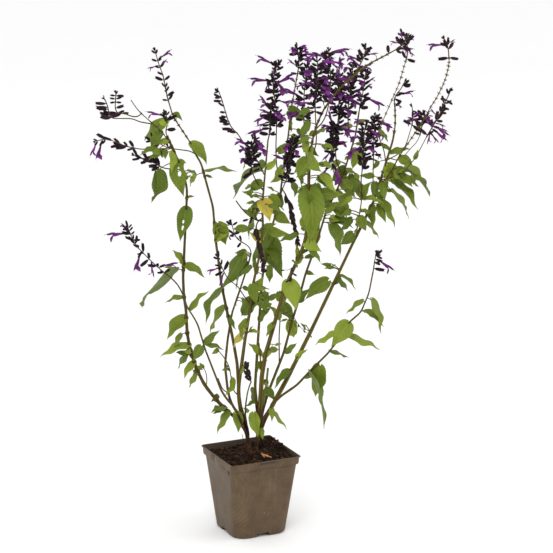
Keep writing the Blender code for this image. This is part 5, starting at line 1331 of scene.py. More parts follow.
def leaf_finish():
    """Green blades: pale veins, puckered between them, paler below, and yellow with age.

    The side veins lie where sin(pi*q) is nought, with q = 7 (u - 0.3 |v|), as on the blade's form.
    """
    made, make, skin = finish("leaf_blade", 0.55, specular=0.25)
    tint, u, v, under, age = make.painted()
    here = make.here()
    side = make.sum("ABSOLUTE", make.sum("MULTIPLY_ADD", v, 2.0, -1.0))
    ridge = make.ridges(make.sum("MULTIPLY_ADD", side, -0.30, u), 7.0)
    veins = make.sum("SUBTRACT", 1.0, make.step(ridge, 0.02, 0.42))
    rib = make.sum("SUBTRACT", 1.0, make.step(side, 0.02, 0.11))
    net = make.sum("SUBTRACT", 1.0, make.step(make.cells(here, 520.0), 0.0, 0.16))
    lines = make.sum("MAXIMUM", rib, make.sum("MULTIPLY", veins, 0.55))
    deep = make.blend(make.step(tint, 0.15, 0.85), linear(98, 118, 32), linear(132, 148, 44))
    fresh = make.blend(make.step(tint, 0.74, 0.98), deep, linear(156, 174, 54))
    green = make.use(MOTTLE, here, fresh, linear(84, 106, 30), 0.22)
    green = make.over(green, linear(60, 84, 26), net, 0.10)
    green = make.over(green, linear(154, 164, 80), lines, 0.40)
    pale = make.use(MOTTLE, here, linear(124, 140, 78), linear(104, 124, 62), 0.8)
    pale = make.over(pale, linear(176, 184, 128), lines, 0.5)
    colour = make.blend(under, green, pale)
    blotch = make.sum("ADD", make.spots(here, 90.0), make.sum("MULTIPLY", side, 0.30))
    turned = make.step(make.sum("ADD", blotch, make.sum("MULTIPLY_ADD", age, 1.15, -1.0)), 0.05, 0.35)
    yellow = make.use(MOTTLE, here, linear(204, 190, 78), linear(176, 152, 70), 0.5)
    colour = make.blend(turned, colour, yellow)
    scorched = make.step(make.spots(here, 130.0), 0.66, 0.72)
    colour = make.blend(make.sum("MULTIPLY", scorched, make.step(side, 0.3, 1.0)),
                        colour, linear(104, 76, 40))
    height = make.sum("ADD", make.sum("MULTIPLY", ridge, 0.8), make.sum("MULTIPLY", net, -0.5))
    height = make.sum("ADD", height, make.sum("MULTIPLY", make.spots(here, 260.0), 0.3))
    make.dress(skin, colour, height, 0.34, 0.0005)
    make.let_through(skin, make.blend(0.5, colour, linear(130, 150, 36)), 0.22)
    return made


def stem_finish(name, dark, olive, roughness=0.6):
    """Square stems: dark rind to light olive by tone, a pale line down each face as a painted
    highlight, mauve stalks.
    """
    made, make, skin = finish(name, roughness, specular=0.2)
    tint, _, v, stalk, tone = make.painted()
    here = make.here((1.0, 1.0, 0.16))
    rind = make.blend(tone, dark, olive)
    rind = make.use(MOTTLE, here, rind, make.blend(0.45, rind, linear(44, 26, 12)), 0.7)
    # Painted highlight: a pale olive line down the middle of each of the four faces.
    rind = make.over(rind, linear(128, 114, 30), make.step(make.ridges(v, 4.0), 0.55, 1.0), 0.42)
    streaks = make.step(make.spots(here, 900.0, 5.0), 0.56, 0.70)
    rind = make.over(rind, linear(52, 32, 14), streaks, 0.6)
    colour = make.blend(stalk, rind, stalk_colour(make, here, tint))
    make.dress(skin, colour, make.use(GRAIN, here), 0.5, 0.0005)
    return made


def bark_finish():
    """The woody crown: flaking strips of dark brown bark over a lighter brown."""
    made, make, skin = finish("crown_bark", 0.85, specular=0.2)
    tint, _, _, stalk, tone = make.painted()
    here = make.here((1.0, 1.0, 0.22))
    strips = make.cells(here, 330.0)
    colour = make.use(MOTTLE, here, linear(92, 62, 36), linear(48, 28, 16), 1.0)
    colour = make.blend(make.step(strips, 0.10, 0.0), colour, linear(24, 14, 9))
    young = make.use(MOTTLE, here, linear(104, 84, 34), linear(62, 42, 18), 0.9)
    colour = make.blend(stalk, make.blend(tone, colour, young), stalk_colour(make, here, tint))
    height = make.sum("ADD", make.step(strips, 0.0, 0.25), make.use(GRAIN, here))
    make.dress(skin, colour, height, 0.8, 0.0009)
    return made


def velvet_finish(name, low, high, pale, roughness=0.75):
    """Calyces: ribbed and downy, paler at the foot, with the inside painted black as shade, tinted one
    by one.
    """
    made, make, skin = finish(name, roughness, specular=0.16, sheen=0.05, sheen_rough=0.4)
    tint, u, v, _, tone = make.painted()
    here = make.here()
    ribs = make.ridges(v, 12.0)
    colour = make.blend(tint, low, high)
    colour = make.use(MOTTLE, here, colour, make.blend(0.6, colour, linear(16, 8, 14)), 0.7)
    colour = make.over(colour, pale, make.step(ribs, 0.7, 1.0), 0.35)
    colour = make.over(colour, pale, make.step(u, 0.30, 0.0), 0.5)
    # Painted shade: the inside of the bell, from the mouth inwards, goes near-black.
    colour = make.blend(make.step(u, 1.0, 1.1), colour, linear(16, 7, 14))
    height = make.sum("ADD", ribs, make.sum("MULTIPLY", make.spots(here, 1600.0), 0.6))
    make.dress(skin, make.blend(tone, colour, linear(62, 34, 46)), height, 0.6, 0.0004)
    return made


def petal_finish():
    """Corollas: bright purple that deepens in the throat and pales at the lips, with fine veins."""
    made, make, skin = finish("petal_purple", 0.55, specular=0.25, sheen=0.06)
    tint, u, v, _, _ = make.painted()
    here = make.here()
    colour = make.blend(tint, linear(92, 18, 92), linear(138, 44, 142))
    colour = make.blend(make.step(u, 0.80, 1.05), colour, linear(144, 66, 152))
    colour = make.blend(make.step(u, 0.45, 0.20), colour, linear(78, 28, 88))
    colour = make.use(MOTTLE, here, colour, make.blend(0.5, colour, linear(86, 22, 100)), 0.8)
    veins = make.ridges(v, 14.0)
    colour = make.over(colour, linear(84, 24, 104), make.step(veins, 0.35, 0.0), 0.35)
    height = make.sum("ADD", make.sum("MULTIPLY", veins, 0.4), make.spots(here, 1400.0))
    make.dress(skin, colour, height, 0.4, 0.0003)
    make.let_through(skin, colour, 0.2)
    return made


# Where the pot's curved scuffs ring out from, as a shift of its coordinates.
SCUFFS_FROM = (0.060, 0.020, -0.075)


def plastic_finish():
    """The pot: taupe moulded plastic with dried dust, water marks, pale spots and curved scuffs, and
    painted shade that darkens its inside and the lug under its collar.
    """
    made, make, skin = finish("dusty_taupe_plastic", 0.5, specular=0.26)
    _, _, _, painted_shade, _ = make.painted()
    here = make.here()
    taupe = make.use(MOTTLE, here, linear(88, 70, 49), linear(74, 57, 38), 0.8)
    dust = make.step(make.spots(make.here((1.0, 1.0, 0.6)), 34.0, 6.0, 0.62), 0.46, 0.70)
    colour = make.over(taupe, linear(110, 92, 70), dust, 0.40)
    runs = make.step(make.spots(make.here((1.0, 1.0, 0.10)), 110.0, 4.0), 0.60, 0.74)
    colour = make.over(colour, linear(124, 112, 98), runs, 0.16)
    rings = make.add("ShaderNodeTexWave", wave_type="RINGS", rings_direction="SPHERICAL")
    centre = make.add("ShaderNodeMapping")
    centre.inputs["Location"].default_value = SCUFFS_FROM
    make.feed(centre.inputs["Vector"], make.here())
    make.feed(rings.inputs["Vector"], centre.outputs[0])
    rings.inputs["Scale"].default_value = 60.0
    rings.inputs["Distortion"].default_value = 1.5
    scuffs = make.sum("MULTIPLY", make.step(rings.outputs["Fac"], 0.82, 0.96),
                      make.step(make.spots(here, 40.0), 0.5, 0.6))
    colour = make.over(colour, linear(164, 152, 138), scuffs, 0.045)
    dots = make.step(make.cells(here, 130.0, "F1"), 0.085, 0.05)
    dots = make.sum("MULTIPLY", dots, make.step(make.spots(here, 70.0), 0.52, 0.60))
    colour = make.over(colour, linear(178, 168, 152), dots, 0.7)
    # Painted shade: where the fourth paint number is one, on the pot's inside, the colour goes 60% of
    # the way to dark brown; the lug has 0.45 of it.
    colour = make.blend(painted_shade, colour, make.blend(0.6, colour, linear(40, 32, 24)))
    make.feed(skin.inputs["Roughness"], make.sum("MULTIPLY_ADD", dust, 0.25, 0.42))
    height = make.sum("ADD", make.spots(here, 1500.0),
                      make.sum("MULTIPLY", make.spots(here, 120.0), 0.8))
    make.dress(skin, colour, height, 0.25, 0.0004)
    return made


def soil_finish():
    """Potting mix: near-black peat with orange flecks, and lighter dry crumbs and fibres by tone."""
    made, make, skin = finish("peat_crumb", 0.95, specular=0.15)
    *_, tone = make.painted()
    here = make.here()
    peat = make.use(MOTTLE, here, linear(42, 29, 21), linear(18, 12, 9), 1.0)
    flecks = make.step(make.spots(here, 800.0, 4.0), 0.62, 0.68)
    peat = make.over(peat, linear(104, 66, 40), flecks, 0.55)
    dry = make.use(MOTTLE, here, linear(124, 86, 56), linear(70, 46, 30), 0.9)
    height = make.sum("ADD", make.cells(here, 520.0, "F1"), make.spots(here, 1300.0, 4.0))
    make.dress(skin, make.blend(tone, peat, dry), height, 0.9, 0.0012)
    return made


def chip_finish():
    """Pale bark chip: orange tan with long grain and dark seams."""
    made, make, skin = finish("bark_chip_wood", 0.8, specular=0.25)
    here = make.here((1.0, 0.35, 1.0))
    colour = make.use(MOTTLE, here, linear(212, 154, 98), linear(156, 98, 54), 0.9)
    colour = make.blend(make.step(make.spots(here, 500.0), 0.60, 0.68), colour, linear(84, 48, 26))
    make.dress(skin, colour, make.use(GRAIN, here), 0.6, 0.0005)
    return made


def floor_finish():
    """The studio's pale floor, with the faintest clouds."""
    made, make, skin = finish("studio_floor", 0.9, specular=0.1)
    clouds = make.blend(make.spots(make.here(), 3.0), (0.93, 0.93, 0.93, 1.0), (0.96, 0.96, 0.96, 1.0))
    make.feed(skin.inputs["Base Color"], clouds)
    return made


# ---------- the pot, its soil and the chip ----------
# The points along a straight of the pot's outline outside an arch, inside it and round a corner.
SIDE_STEPS = 10
ARCH_STEPS = 5
CORNER_STEPS = 9
NOTCH_DEEP = 0.0017
SIDE_NOTCH = (0.008, 0.017)
RIM_OUT = 0.0018

# The soil's crumbs: how many, how many of them lie on the rim, and from where to where; its fibres:
# how many, and how many of them lie anywhere, where the rest lie round the crown.
CRUMBS = 2200
SPILLED = 70
SPILL = ((0.0500, 0.006), (0.0545, 0.042))
FIBRES = 150
FIBRES_SPREAD = 110
CRUMB_WITHIN = 0.0495
FIBRE_WITHIN = 0.046

# The bark chip's pixels at its two ends, and how far before the axis they lie.
CHIP_ENDS = ((258, 462), (270, 454))
CHIP_AWAY = (-0.016, -0.030)
CHIP_SPOT = place((264, 458), -0.023)[0][:2]
CHIP_CLEAR = 0.0065

# How much nearer than the axis the crown's large leaves hang, and how long a large one is.
CROWN_FORWARD = 0.020
LARGE_LEAF = 0.02


def square_ring(side, corner):
    """A round-cornered square, anticlockwise from its +X side's foot.

    Each straight runs between its corners with a pair of points either side of each arch edge, so
    that a row can step there.
    """
    half, hair = ARCH_WIDTH / 2, 0.0002
    reach = side / 2 - corner
    ends = max(reach, half * 1.04)
    straight = np.concatenate((np.linspace(-ends, -half - hair, SIDE_STEPS),
                               np.linspace(-half + hair, half - hair, ARCH_STEPS),
                               np.linspace(half + hair, ends, SIDE_STEPS)))
    angles = np.linspace(0, math.pi / 2, CORNER_STEPS)[1:-1]
    x = np.concatenate((np.full(len(straight), side / 2), reach + corner * np.cos(angles)))
    y = np.concatenate((straight, reach + corner * np.sin(angles)))
    turns = np.arange(4) * math.pi / 2
    cos, sin = np.cos(turns)[:, None], np.sin(turns)[:, None]
    return np.stack((x * cos - y * sin, x * sin + y * cos), -1).reshape(-1, 2)


def arch_columns():
    """True at the points of a ring that lie inside an arch."""
    one = np.zeros(2 * SIDE_STEPS + ARCH_STEPS + CORNER_STEPS - 2, bool)
    one[SIDE_STEPS:SIDE_STEPS + ARCH_STEPS] = True
    return np.tile(one, 4)


def pot_rings(inset, floor, rises):
    """The rings of the pot's form from the middle of its base, out under it and up its side.

    A point under an arch stands ARCH_HEIGHT higher, and that lift fades with height up the side.
    Under the base the outline shrinks to the middle, but the arches keep their width as far in as
    0.45 of the way.
    """
    inside = arch_columns()
    lift = inside * ARCH_HEIGHT
    half = ARCH_WIDTH / 2
    rings = []
    outline = square_ring(pot_side(floor)[0] - 2 * (BASE_EDGE + inset), BASE_CORNER - BASE_EDGE)
    for scale, raised in ((0.30, 0), (0.50, 0), (0.555, 0), (0.556, 1), (0.75, 1), (0.90, 1)):
        ring = outline.copy()
        along_x = np.abs(ring[:, 0]) > np.abs(ring[:, 1])
        for axis, mask in ((0, along_x), (1, ~along_x)):
            ring[mask, axis] *= scale
            if scale < 0.45:
                ring[mask, 1 - axis] *= scale
                continue
            other = ring[mask, 1 - axis]
            off = np.abs(other)
            span = np.abs(outline).max() * 0.72 - half
            squeezed = half + (off - half) / span * max(0.0, span * scale - half * (1 - scale))
            ring[mask, 1 - axis] = np.sign(other) * np.where(off > half + 0.0001, squeezed, off)
        rings.append(np.column_stack((ring, floor + lift * raised)))
    for rise in rises:
        tuck = BASE_EDGE * (1 - math.sqrt(max(0.0, 1 - (1 - min(rise / BASE_EDGE, 1.0)) ** 2)))
        z = floor + rise + lift * (1 - rise / (POT_HEIGHT - COLLAR_HEIGHT - floor))
        side, corner = pot_side(floor + rise)
        ring = square_ring(side - 2 * (tuck + inset), max(corner - inset - tuck * 0.5, 0.004))
        side, corner = pot_side(z.max())
        raised = square_ring(side - 2 * inset, corner - inset)
        rings.append(np.column_stack((np.where(inside[:, None], raised, ring), z)))
    return rings


def make_pot(finish_of):
    """The pot: its outside from the base to the lip, over the lip, and down its inside to its floor.

    All rows have the same points round them, so the outside and the inside are one closed sheet.
    The inside's rows carry painted shade, which the pot's finish darkens.
    A wedge of five points is the stacking lug that hangs under the collar by the front corner;
    it is painted darker as shade under the collar.
    """
    top = POT_HEIGHT - COLLAR_HEIGHT
    lip = POT_HEIGHT - LIP_HEIGHT
    rises = (0.0, 0.0008, 0.002, 0.004, 0.010, 0.030, 0.055, 0.080, 0.100, top - 0.0006)
    outside = pot_rings(0.0, 0.0, rises)
    collar = POT_TOP - NECK_IN + 2 * COLLAR_PROUD
    profile = ((top + 0.0002, collar - 0.0022, 0.0085), (top + 0.0007, collar - 0.0006, 0.0082),
               (top + 0.0012, collar, 0.008), (top + 0.006, collar + 0.0005, 0.0075),
               (lip - 0.0009, collar + 0.001, 0.007), (lip - 0.0003, POT_TOP - 0.0012, TOP_CORNER),
               (lip + 0.0001, POT_TOP, TOP_CORNER), (POT_HEIGHT - 0.0004, POT_TOP, TOP_CORNER),
               (POT_HEIGHT, POT_TOP - 0.0008, TOP_CORNER),
               (POT_HEIGHT, POT_TOP - 0.0026, TOP_CORNER - 0.001),
               (POT_HEIGHT - 0.0006, POT_TOP - 0.0034, TOP_CORNER - 0.0015))
    for z, side, corner in profile:
        ring = square_ring(side + RIM_OUT, corner)
        outside.append(np.column_stack((ring, np.full(len(ring), z))))
    inside = pot_rings(POT_WALL, POT_WALL, rises[:-1])[::-1]
    rings = np.array(outside + inside)
    x, y, z = np.moveaxis(rings, -1, 0)
    band = (z > top + 0.0001) & (z < lip - 0.0005)
    band[len(outside):] = False
    edge = -POT_TOP / 2 + 0.006
    front = band & (y < edge) & (x > NOTCH[0]) & (x < NOTCH[1])
    aside = band & (x < edge) & (y > SIDE_NOTCH[0]) & (y < SIDE_NOTCH[1])
    rings[:, :, 1] += front * NOTCH_DEEP
    rings[:, :, 0] += aside * NOTCH_DEEP
    # The inside's rows, from the rim's inner edge down, carry painted shade that darkens them.
    painted_shade = np.repeat(np.arange(len(rings)) > len(outside) - 2, len(rings[0])).astype(float)
    rows, columns = rings.shape[:2]
    points = np.vstack((rings.reshape(-1, 3), ((0, 0, 0.0), (0, 0, POT_WALL))))
    pot = Bundle()
    pot.add(points, capped_faces(rows, columns), (0.5, 0.0, 0.0, np.append(painted_shade, (0.0, 1.0))))
    level, foot, out = top + 0.0006, top - 0.0115, 0.0026
    high, low = (-pot_side(z)[0] / 2 + 0.0003 for z in (top, foot))
    lug = np.array(((high, -0.009, level), (high, -0.038, level), (low, -0.034, foot),
                    (high - out, -0.014, level), (high - out, -0.037, level)))
    # The lug's fourth paint number, 0.45, is painted shade under the collar: 0.45 of the inside's
    # darkening.
    pot.add(lug, [np.array(((0, 1, 4, 3),)), np.array(((0, 2, 1), (0, 3, 2), (3, 4, 2), (1, 2, 4)))],
            (0.5, 0.0, 0.0, 0.45))
    pot.piece("pot_shell", finish_of, "pot_plastic", ("pot",), 32)


def ground(x, y):
    """The soil's top: the solid's height, banked up to the rim at +X, and heaved by waves."""
    flat = np.stack((x, y, 0 * x), -1)
    bank = 0.0085 * np.exp(-(((x - 0.056) / 0.020) ** 2)) * np.clip(0.85 + y / 0.06, 0, 1)
    bank = bank + 0.0035 * np.exp(-(((x - 0.049) / 0.011) ** 2) - ((y - 0.026) / 0.014) ** 2)
    return soil_height(x, y) + bank + 0.0009 * waves(flat, 0.010, 3) + 0.0005 * waves(flat, 0.0042, 4)


def make_soil(finish_of):
    """The potting mix: rings of the pot's inner outline shrunk to the middle at the height `ground`.

    Crumbs are 20-sided lumps sunk by half into it, and fibres are thin arcs laid over it.
    """
    soil = Bundle()
    wall = POT_WALL + GAP
    rings = pot_rings(wall, wall, (0.0, 0.0008, 0.002, 0.004, 0.010, 0.040, 0.080, 0.100))
    side, corner = pot_side(SOIL_TOP - 0.005)
    rim = square_ring(side - 2 * wall - 0.0006, corner - wall)
    top = rim[None] * np.linspace(1.0, 0.02, 54)[:, None, None]
    rings = np.concatenate((np.array(rings), np.dstack((top, ground(top[..., 0], top[..., 1])))))
    rows, columns = rings.shape[:2]
    middle = rings[-1].mean(axis=0)
    points = np.vstack((rings.reshape(-1, 3), (0, 0, wall), middle))
    soil.add(points, capped_faces(rows, columns), (0.5, 0.0, 0.0, 0.0))
    add_crumbs(soil)
    for number in range(FIBRES):
        x, y = (SEASON.uniform(-FIBRE_WITHIN, FIBRE_WITHIN, 2) if number < FIBRES_SPREAD
                else SEASON.normal(size=2) * 0.012)
        way = SEASON.uniform(0, 6.28)
        reach, bow = SEASON.uniform(0.0010, 0.0045), SEASON.uniform(-0.4, 0.4)
        t = np.linspace(-1, 1, 5)
        px = x + reach * (np.cos(way) * t - np.sin(way) * bow * t**2)
        py = y + reach * (np.sin(way) * t + np.cos(way) * bow * t**2)
        kept = np.clip((px, py), -0.049, 0.049)
        high = ground(*kept) + 0.0011 + 0.0012 * SEASON.random() * (1 - t**2)
        add_tube(soil, np.column_stack((*kept, high)), np.full(5, SEASON.uniform(0.00015, 0.0005)), 4,
                 0.5, SEASON.uniform(0.3, 1.0))
    soil.piece("potting_mix", finish_of, "potting_soil", ("soil",), 60)


def add_crumbs(soil):
    """Crumbs over the soil and a few on the rim: balls of 12 points, squashed, bent and turned."""
    spots = SEASON.uniform(-CRUMB_WITHIN, CRUMB_WITHIN, (CRUMBS, 2))
    sizes = 0.0005 + 0.0026 * SEASON.random(CRUMBS) ** 3.2
    sizes *= np.where(np.linalg.norm(spots - CHIP_SPOT, axis=1) < CHIP_CLEAR, 0.35, 1.0)
    high = ground(spots[:, 0], spots[:, 1]) + sizes * 0.2
    spots[:SPILLED] = SEASON.uniform(*SPILL, (SPILLED, 2))
    high[:SPILLED] = POT_HEIGHT + sizes[:SPILLED] * 0.4
    turn = SEASON.uniform(0, 6.28, CRUMBS)
    squash = SEASON.uniform((0.8, 0.35, 0.3), (1.7, 0.9, 0.85), (CRUMBS, 3))
    ring = round_the(5)
    upper = np.stack((0.9 * np.cos(ring), 0.9 * np.sin(ring), np.full(5, 0.45)), -1)
    lower = np.stack((0.9 * np.cos(ring + 0.63), 0.9 * np.sin(ring + 0.63), np.full(5, -0.45)), -1)
    ball = np.vstack(((0, 0, 1.0), upper, lower, (0, 0, -1.0)))
    here = 1 + np.arange(5)
    after = 1 + (np.arange(5) + 1) % 5
    faces = np.concatenate([np.stack(corners, -1) for corners in (
        (here * 0, here, after), (here, here + 5, after), (after, here + 5, after + 5),
        (here * 0 + 11, after + 5, here + 5))])
    shape = ball[None] * squash[:, None] * SEASON.uniform(0.55, 1.25, (CRUMBS, 12, 1))
    shape[..., 2] += shape[..., 0] * SEASON.uniform(-0.6, 0.6, (CRUMBS, 1))
    x, y, z = np.moveaxis(shape, -1, 0)
    cos, sin = np.cos(turn)[:, None], np.sin(turn)[:, None]
    lumps = np.stack((x * cos - y * sin, x * sin + y * cos, z), -1) * sizes[:, None, None]
    groups = [(faces[None] + np.arange(CRUMBS)[:, None, None] * 12).reshape(-1, 3)]
    soil.add(np.column_stack((spots, high))[:, None] + lumps, groups, (0.5, 0.0, 0.0, 0.0),
             np.repeat(SEASON.random(CRUMBS) ** 4, 12))


def make_chip(finish_of):
    """The bark chip, split in two slivers: each is a flat tube, wide as a sine of the way along."""
    chip = Bundle()
    middle = place(CHIP_ENDS, CHIP_AWAY).mean(axis=0)
    middle[2] = ground(*middle[:2]) + 0.0014
    t = np.linspace(0, 1, 15)[:, None]
    angles = round_the(10)
    rough = 1 + 0.12 * np.sin(3 * angles + 9 * t)
    for off, start, end, wide in (
            (0.001, -0.0036 * RIGHT + 0.0072 * UP, 0.0012 * RIGHT, 0.0014),
            (-0.001, -0.0024 * RIGHT + 0.0046 * UP, 0.0112 * RIGHT, 0.0013)):
        left = unit(np.cross(LEVEL, unit(end - start)))
        bulge = np.sin(math.pi * (t * 0.96 + 0.02)) ** 0.45 * (1 + 0.16 * np.sin(17 * t + off * 900))
        line = (middle + start + (end - start) * t
                - LEVEL * (off + 0.0008 * np.sin(3 * t + off * 999)))
        rings = (line[:, None] + left * (wide * bulge * np.cos(angles) * rough)[..., None]
                 - LEVEL * (0.00095 * bulge * np.sin(angles) * rough)[..., None])
        points = np.vstack((rings.reshape(-1, 3), line[:1], line[-1:]))
        chip.add(points, [group[:, ::-1] for group in capped_faces(15, 10)], (0.5, 0.0, 0.0, 0.0))
    chip.piece("bark_chip_slivers", finish_of, "bark", ("bark_chip",), 40)


# ---------- stems ----------
def swollen(at, radii, joints, most=0.55, reach=0.0024):
    """The radii plus a knot at each joint: `most` of the radius times exp(-(distance/reach)^2)."""
    if not len(joints):
        return radii
    gap = np.abs(at[:, None] - np.array(joints)[None])
    return radii * (1 + most * np.exp(-((gap / reach) ** 2)).max(axis=1))


def add_stem(bundle, tube, tones, joints, first=0.0, last=None, knobs=(), stout=STOUT):
    """A stem: an eased tube with four soft ridges, knots at its joints and a wander of its radius."""
    at, points, radii = eased(tube)
    last = at[-1] if last is None else last
    joints = np.array(joints)
    kept = np.concatenate(((first,), at[(at > first + MM) & (at < last - MM)], (last,)))
    beside = (joints[:, None] + np.array((-2.4, -1.2, 0.0, 1.2, 2.4)) * MM).ravel()
    kept = np.union1d(kept, beside[(beside > first) & (beside < last)])
    points = across(kept, at, points)
    radii = np.interp(kept, at, radii) * np.interp(kept, (0.0, at[-1]), stout)
    slim = 1 - 0.32 * (kept > knobs[0][0]) if knobs else 1.0
    radii = swollen(kept, radii, joints) * slim * (1 + 0.06 * waves(points, 0.02, 5, 2))
    tone = np.interp(kept, (0.0, at[-1]), tones) + 0.12 * waves(points, 0.05, 6, 1)
    gap = np.abs(kept[:, None] - joints[None]) / (1.6 * MM)
    tone = np.clip(tone - 0.35 * np.exp(-(gap**2)).max(axis=1, initial=0.0), 0, 1)
    add_tube(bundle, points, radii, 8, float(SEASON.random()), tone, ridge=0.09)
    for where, reach in knobs:
        if first < where < last:
            centre, up = at_point(where, kept, points)
            add_knobs(bundle, centre, up, reach)


def at_point(where, along, points):
    """The point at a distance along a line, and the line's direction there."""
    where = np.array((where,))
    return across(where, along, points)[0], unit(across(where, along, tangents(points))[0])


KNOB_RADII = np.array((0.55, 0.42, 0.42, 0.62))


def add_knobs(bundle, centre, up, reach):
    """Spent stalks of a whorl: three to five little stubs round the stem, bent up, with thick ends."""
    left = unit(np.cross(up, FORWARD))
    behind = np.cross(left, up)
    start = SEASON.uniform(0, math.pi)
    count = int(SEASON.integers(3, 6))
    for number in range(count):
        angle = start + number * 2 * math.pi / count + SEASON.uniform(-0.2, 0.2)
        out = left * math.cos(angle) + behind * math.sin(angle)
        long = reach * SEASON.uniform(0.6, 1.2)
        t = np.linspace(0, 1, 4)[:, None]
        line = centre + out * (0.4 * MM + long * t) + up * (0.7 * long * t**1.6)
        add_tube(bundle, line, KNOB_RADII * MM, 4, 0.5, SEASON.uniform(0.5, 1.0))


def spaced(first, last, near, far, vary=0.15):
    """Distances from `first` to `last` whose gaps pass evenly from `near` to `far`, varied by seed."""
    found, at = [], first
    while at < last:
        found.append(at)
        part = (at - first) / max(last - first, 1e-6)
        at += (near + (far - near) * part) * SEASON.uniform(1 - vary, 1 + vary)
    return found


def joints_of(tube, feet):
    """How far along the tube each foot sits, for the feet that touch it."""
    along = lengths(tube.points)
    found = []
    for foot in feet:
        away = np.linalg.norm(tube.points - foot, axis=1)
        if away.min() < 2 * MM:
            found.append(float(along[away.argmin()]))
    return sorted(found)


def held_near(stem_point, foot, pixel, most):
    """A leaf's foot, no further from its stem than `most` to twice that, by where its pixel is."""
    reach = foot - stem_point
    limit = most + most * ((0.73 * pixel[0] + 0.31 * pixel[1]) % 1.0)
    return stem_point + unit(reach) * limit if np.linalg.norm(reach) > limit else foot


def small_leaves(stems):
    """The smaller leaves of each tuft, on the nearest stem to each, turned every way, by seed."""
    grown = []
    for x, y, spread, count, long in TUFTS:
        node = nearest_stem(stems, (x, y))
        for _ in range(count):
            pixel = (x, y) + SEASON.normal(size=2) * spread * 0.55
            tube, index = nearest(stems[node], pixel)
            index = int(np.clip(index + SEASON.integers(-5, 2), 0, len(tube.points) - 1))
            stem_point = tube.points[index]
            foot = place(pixel, stem_point @ LEVEL + SEASON.normal() * 0.010)[0]
            foot = held_near(stem_point, foot, pixel, 0.010)
            length = long * PIXEL * SEASON.uniform(0.6, 1.25)
            way = unit(foot - stem_point) + SEASON.normal(size=3) * 0.55 - 0.25 * UPRIGHT
            tip = foot + unit(way) * length
            width = length * SEASON.uniform(0.25, 0.55)
            bank = float(SEASON.choice((-1, 1)))
            if not in_the_way(foot, tip):
                owner = "crown_" + trunk_of(node) if stem_point[2] < PARTING_HEIGHT else node
                grown.append((owner, stem_point, foot, tip, width, bank))
    for left, top, right, bottom, count, long in CANOPY:
        for _ in range(count):
            pixel = np.array((SEASON.uniform(left, right), SEASON.uniform(top, bottom)))
            node = min(stems, key=lambda name: pixels_off(stems[name], pixel) * SEASON.uniform(1, 2))
            tube, index = nearest(stems[node], pixel)
            stem_point = tube.points[max(index - 3, 0)]
            foot = place(pixel, stem_point @ LEVEL + SEASON.normal() * 0.008)[0]
            foot = held_near(stem_point, foot, pixel, 0.012)
            away = unit(foot - stem_point)
            way = RIGHT * (away @ RIGHT + SEASON.normal() * 0.5) - UPRIGHT * SEASON.uniform(0.1, 1.3)
            way = unit(way + LEVEL * SEASON.normal() * 0.5)
            length = long * PIXEL * SEASON.uniform(0.65, 1.25)
            if not in_the_way(foot, foot + way * length):
                grown.append((node, stem_point, foot, foot + way * length,
                              length * SEASON.uniform(0.35, 0.6), float(SEASON.choice((-1, 1)))))
    return grown


def in_the_way(foot, tip):
    """True where a small leaf would cover a dry spike or the yellow leaf."""
    shown = np.array([seen_at(foot + (tip - foot) * part) for part in (0.0, 0.33, 0.66, 1.0)])
    dead = [pixel for name in SPIKES if "dead" in name for pixel in SPIKES[name]["route"]]
    return np.linalg.norm(shown[:, None] - np.array(dead + YELLOW_LEAF), axis=2).min() < 7


def brought_forward(node, foot, tip):
    """A large leaf of the crown hangs in front of the trunks, at the same pixels; others stay."""
    if not node.startswith("crown") or np.linalg.norm(tip - foot) < LARGE_LEAF:
        return foot, tip
    return place((seen_at(foot), seen_at(tip)), (-CROWN_FORWARD, -CROWN_FORWARD - 0.004))


def said(table, pixel, near, plain):
    """What a table of pixels says of the one that lies near a pixel, or else the plain value."""
    return next((value for key, value in table.items() if np.hypot(*(pixel - key)) < near), plain)


def make_leaves(node, mine, blade_finish, slot):
    """All blades of one node: aged as the foot's pixel says, eaten or widened as the tip's says."""
    blades = Bundle()
    for _, foot, tip, width, bank in mine:
        end = seen_at(tip)
        holes = said(EATEN, end, 5, ())
        width *= said(REWIDTH, end, 3, 1.0)
        age = max(said(AGED, seen_at(foot), 3, 0.0), 0.22 * SEASON.random() ** 8)
        tint = float(SEASON.random()) * (0.55 if np.linalg.norm(tip - foot) > 0.055 else 1.0)
        foot, tip = brought_forward(node, foot, tip)
        add_leaf(blades, foot, tip, width, bank, tint, age, holes)
    blades.piece(node + "_leaves", blade_finish, slot, (node,), 50)


def make_trunk(trunk):
    """A trunk of the crown: a round tube roughened by two sizes of soft noise."""
    crown = Bundle()
    _, points, radii = eased(trunk, 0.004, 0.0015)
    out = tube_surface(points, radii, 16)
    rough = 1 + 0.16 * waves(out, 0.009, 8) + 0.08 * waves(out, 0.003, 9)
    rings = points[:, None] + (out - points[:, None]) * rough[..., None]
    body = np.vstack((rings.reshape(-1, 3), points[:1], points[-1:]))
    crown.add(body, capped_faces(len(points), 16), (0.5, 0.0, 0.0, 0.0))
    return crown


def make_husks(name, bits, husk_finish, slot):
    """The dry bits of one stem: each a sagging stalk, with dead calyces or none along it."""
    husks = Bundle()
    t = np.linspace(0, 1, 6)[:, None]
    for start, end, count in bits:
        sag = UPRIGHT * -0.15 * np.linalg.norm(end - start)
        line = start + (end - start) * t + sag * 4 * t * (1 - t)
        add_tube(husks, line, np.linspace(0.55, 0.35, 6) * (MM if count else 2.6 * MM), 5, 0.5, 0.3)
        if count:
            feet = across(np.linspace(0.35, 1.0, count) * lengths(line)[-1], lengths(line), line)
            ways = unit(end - start) * 0.7 + SEASON.normal(size=(count, 3)) * 0.6 - 0.4 * UPRIGHT
            add_calyces(husks, feet, ways, np.tile(UP, (count, 1)),
                        CALYX_LENGTH * SEASON.uniform(0.4, 0.75, count),
                        SEASON.random(count), 0.3 * SEASON.random(count))
    husks.piece(name + "_dry_bits", husk_finish, slot, (name,), 60)


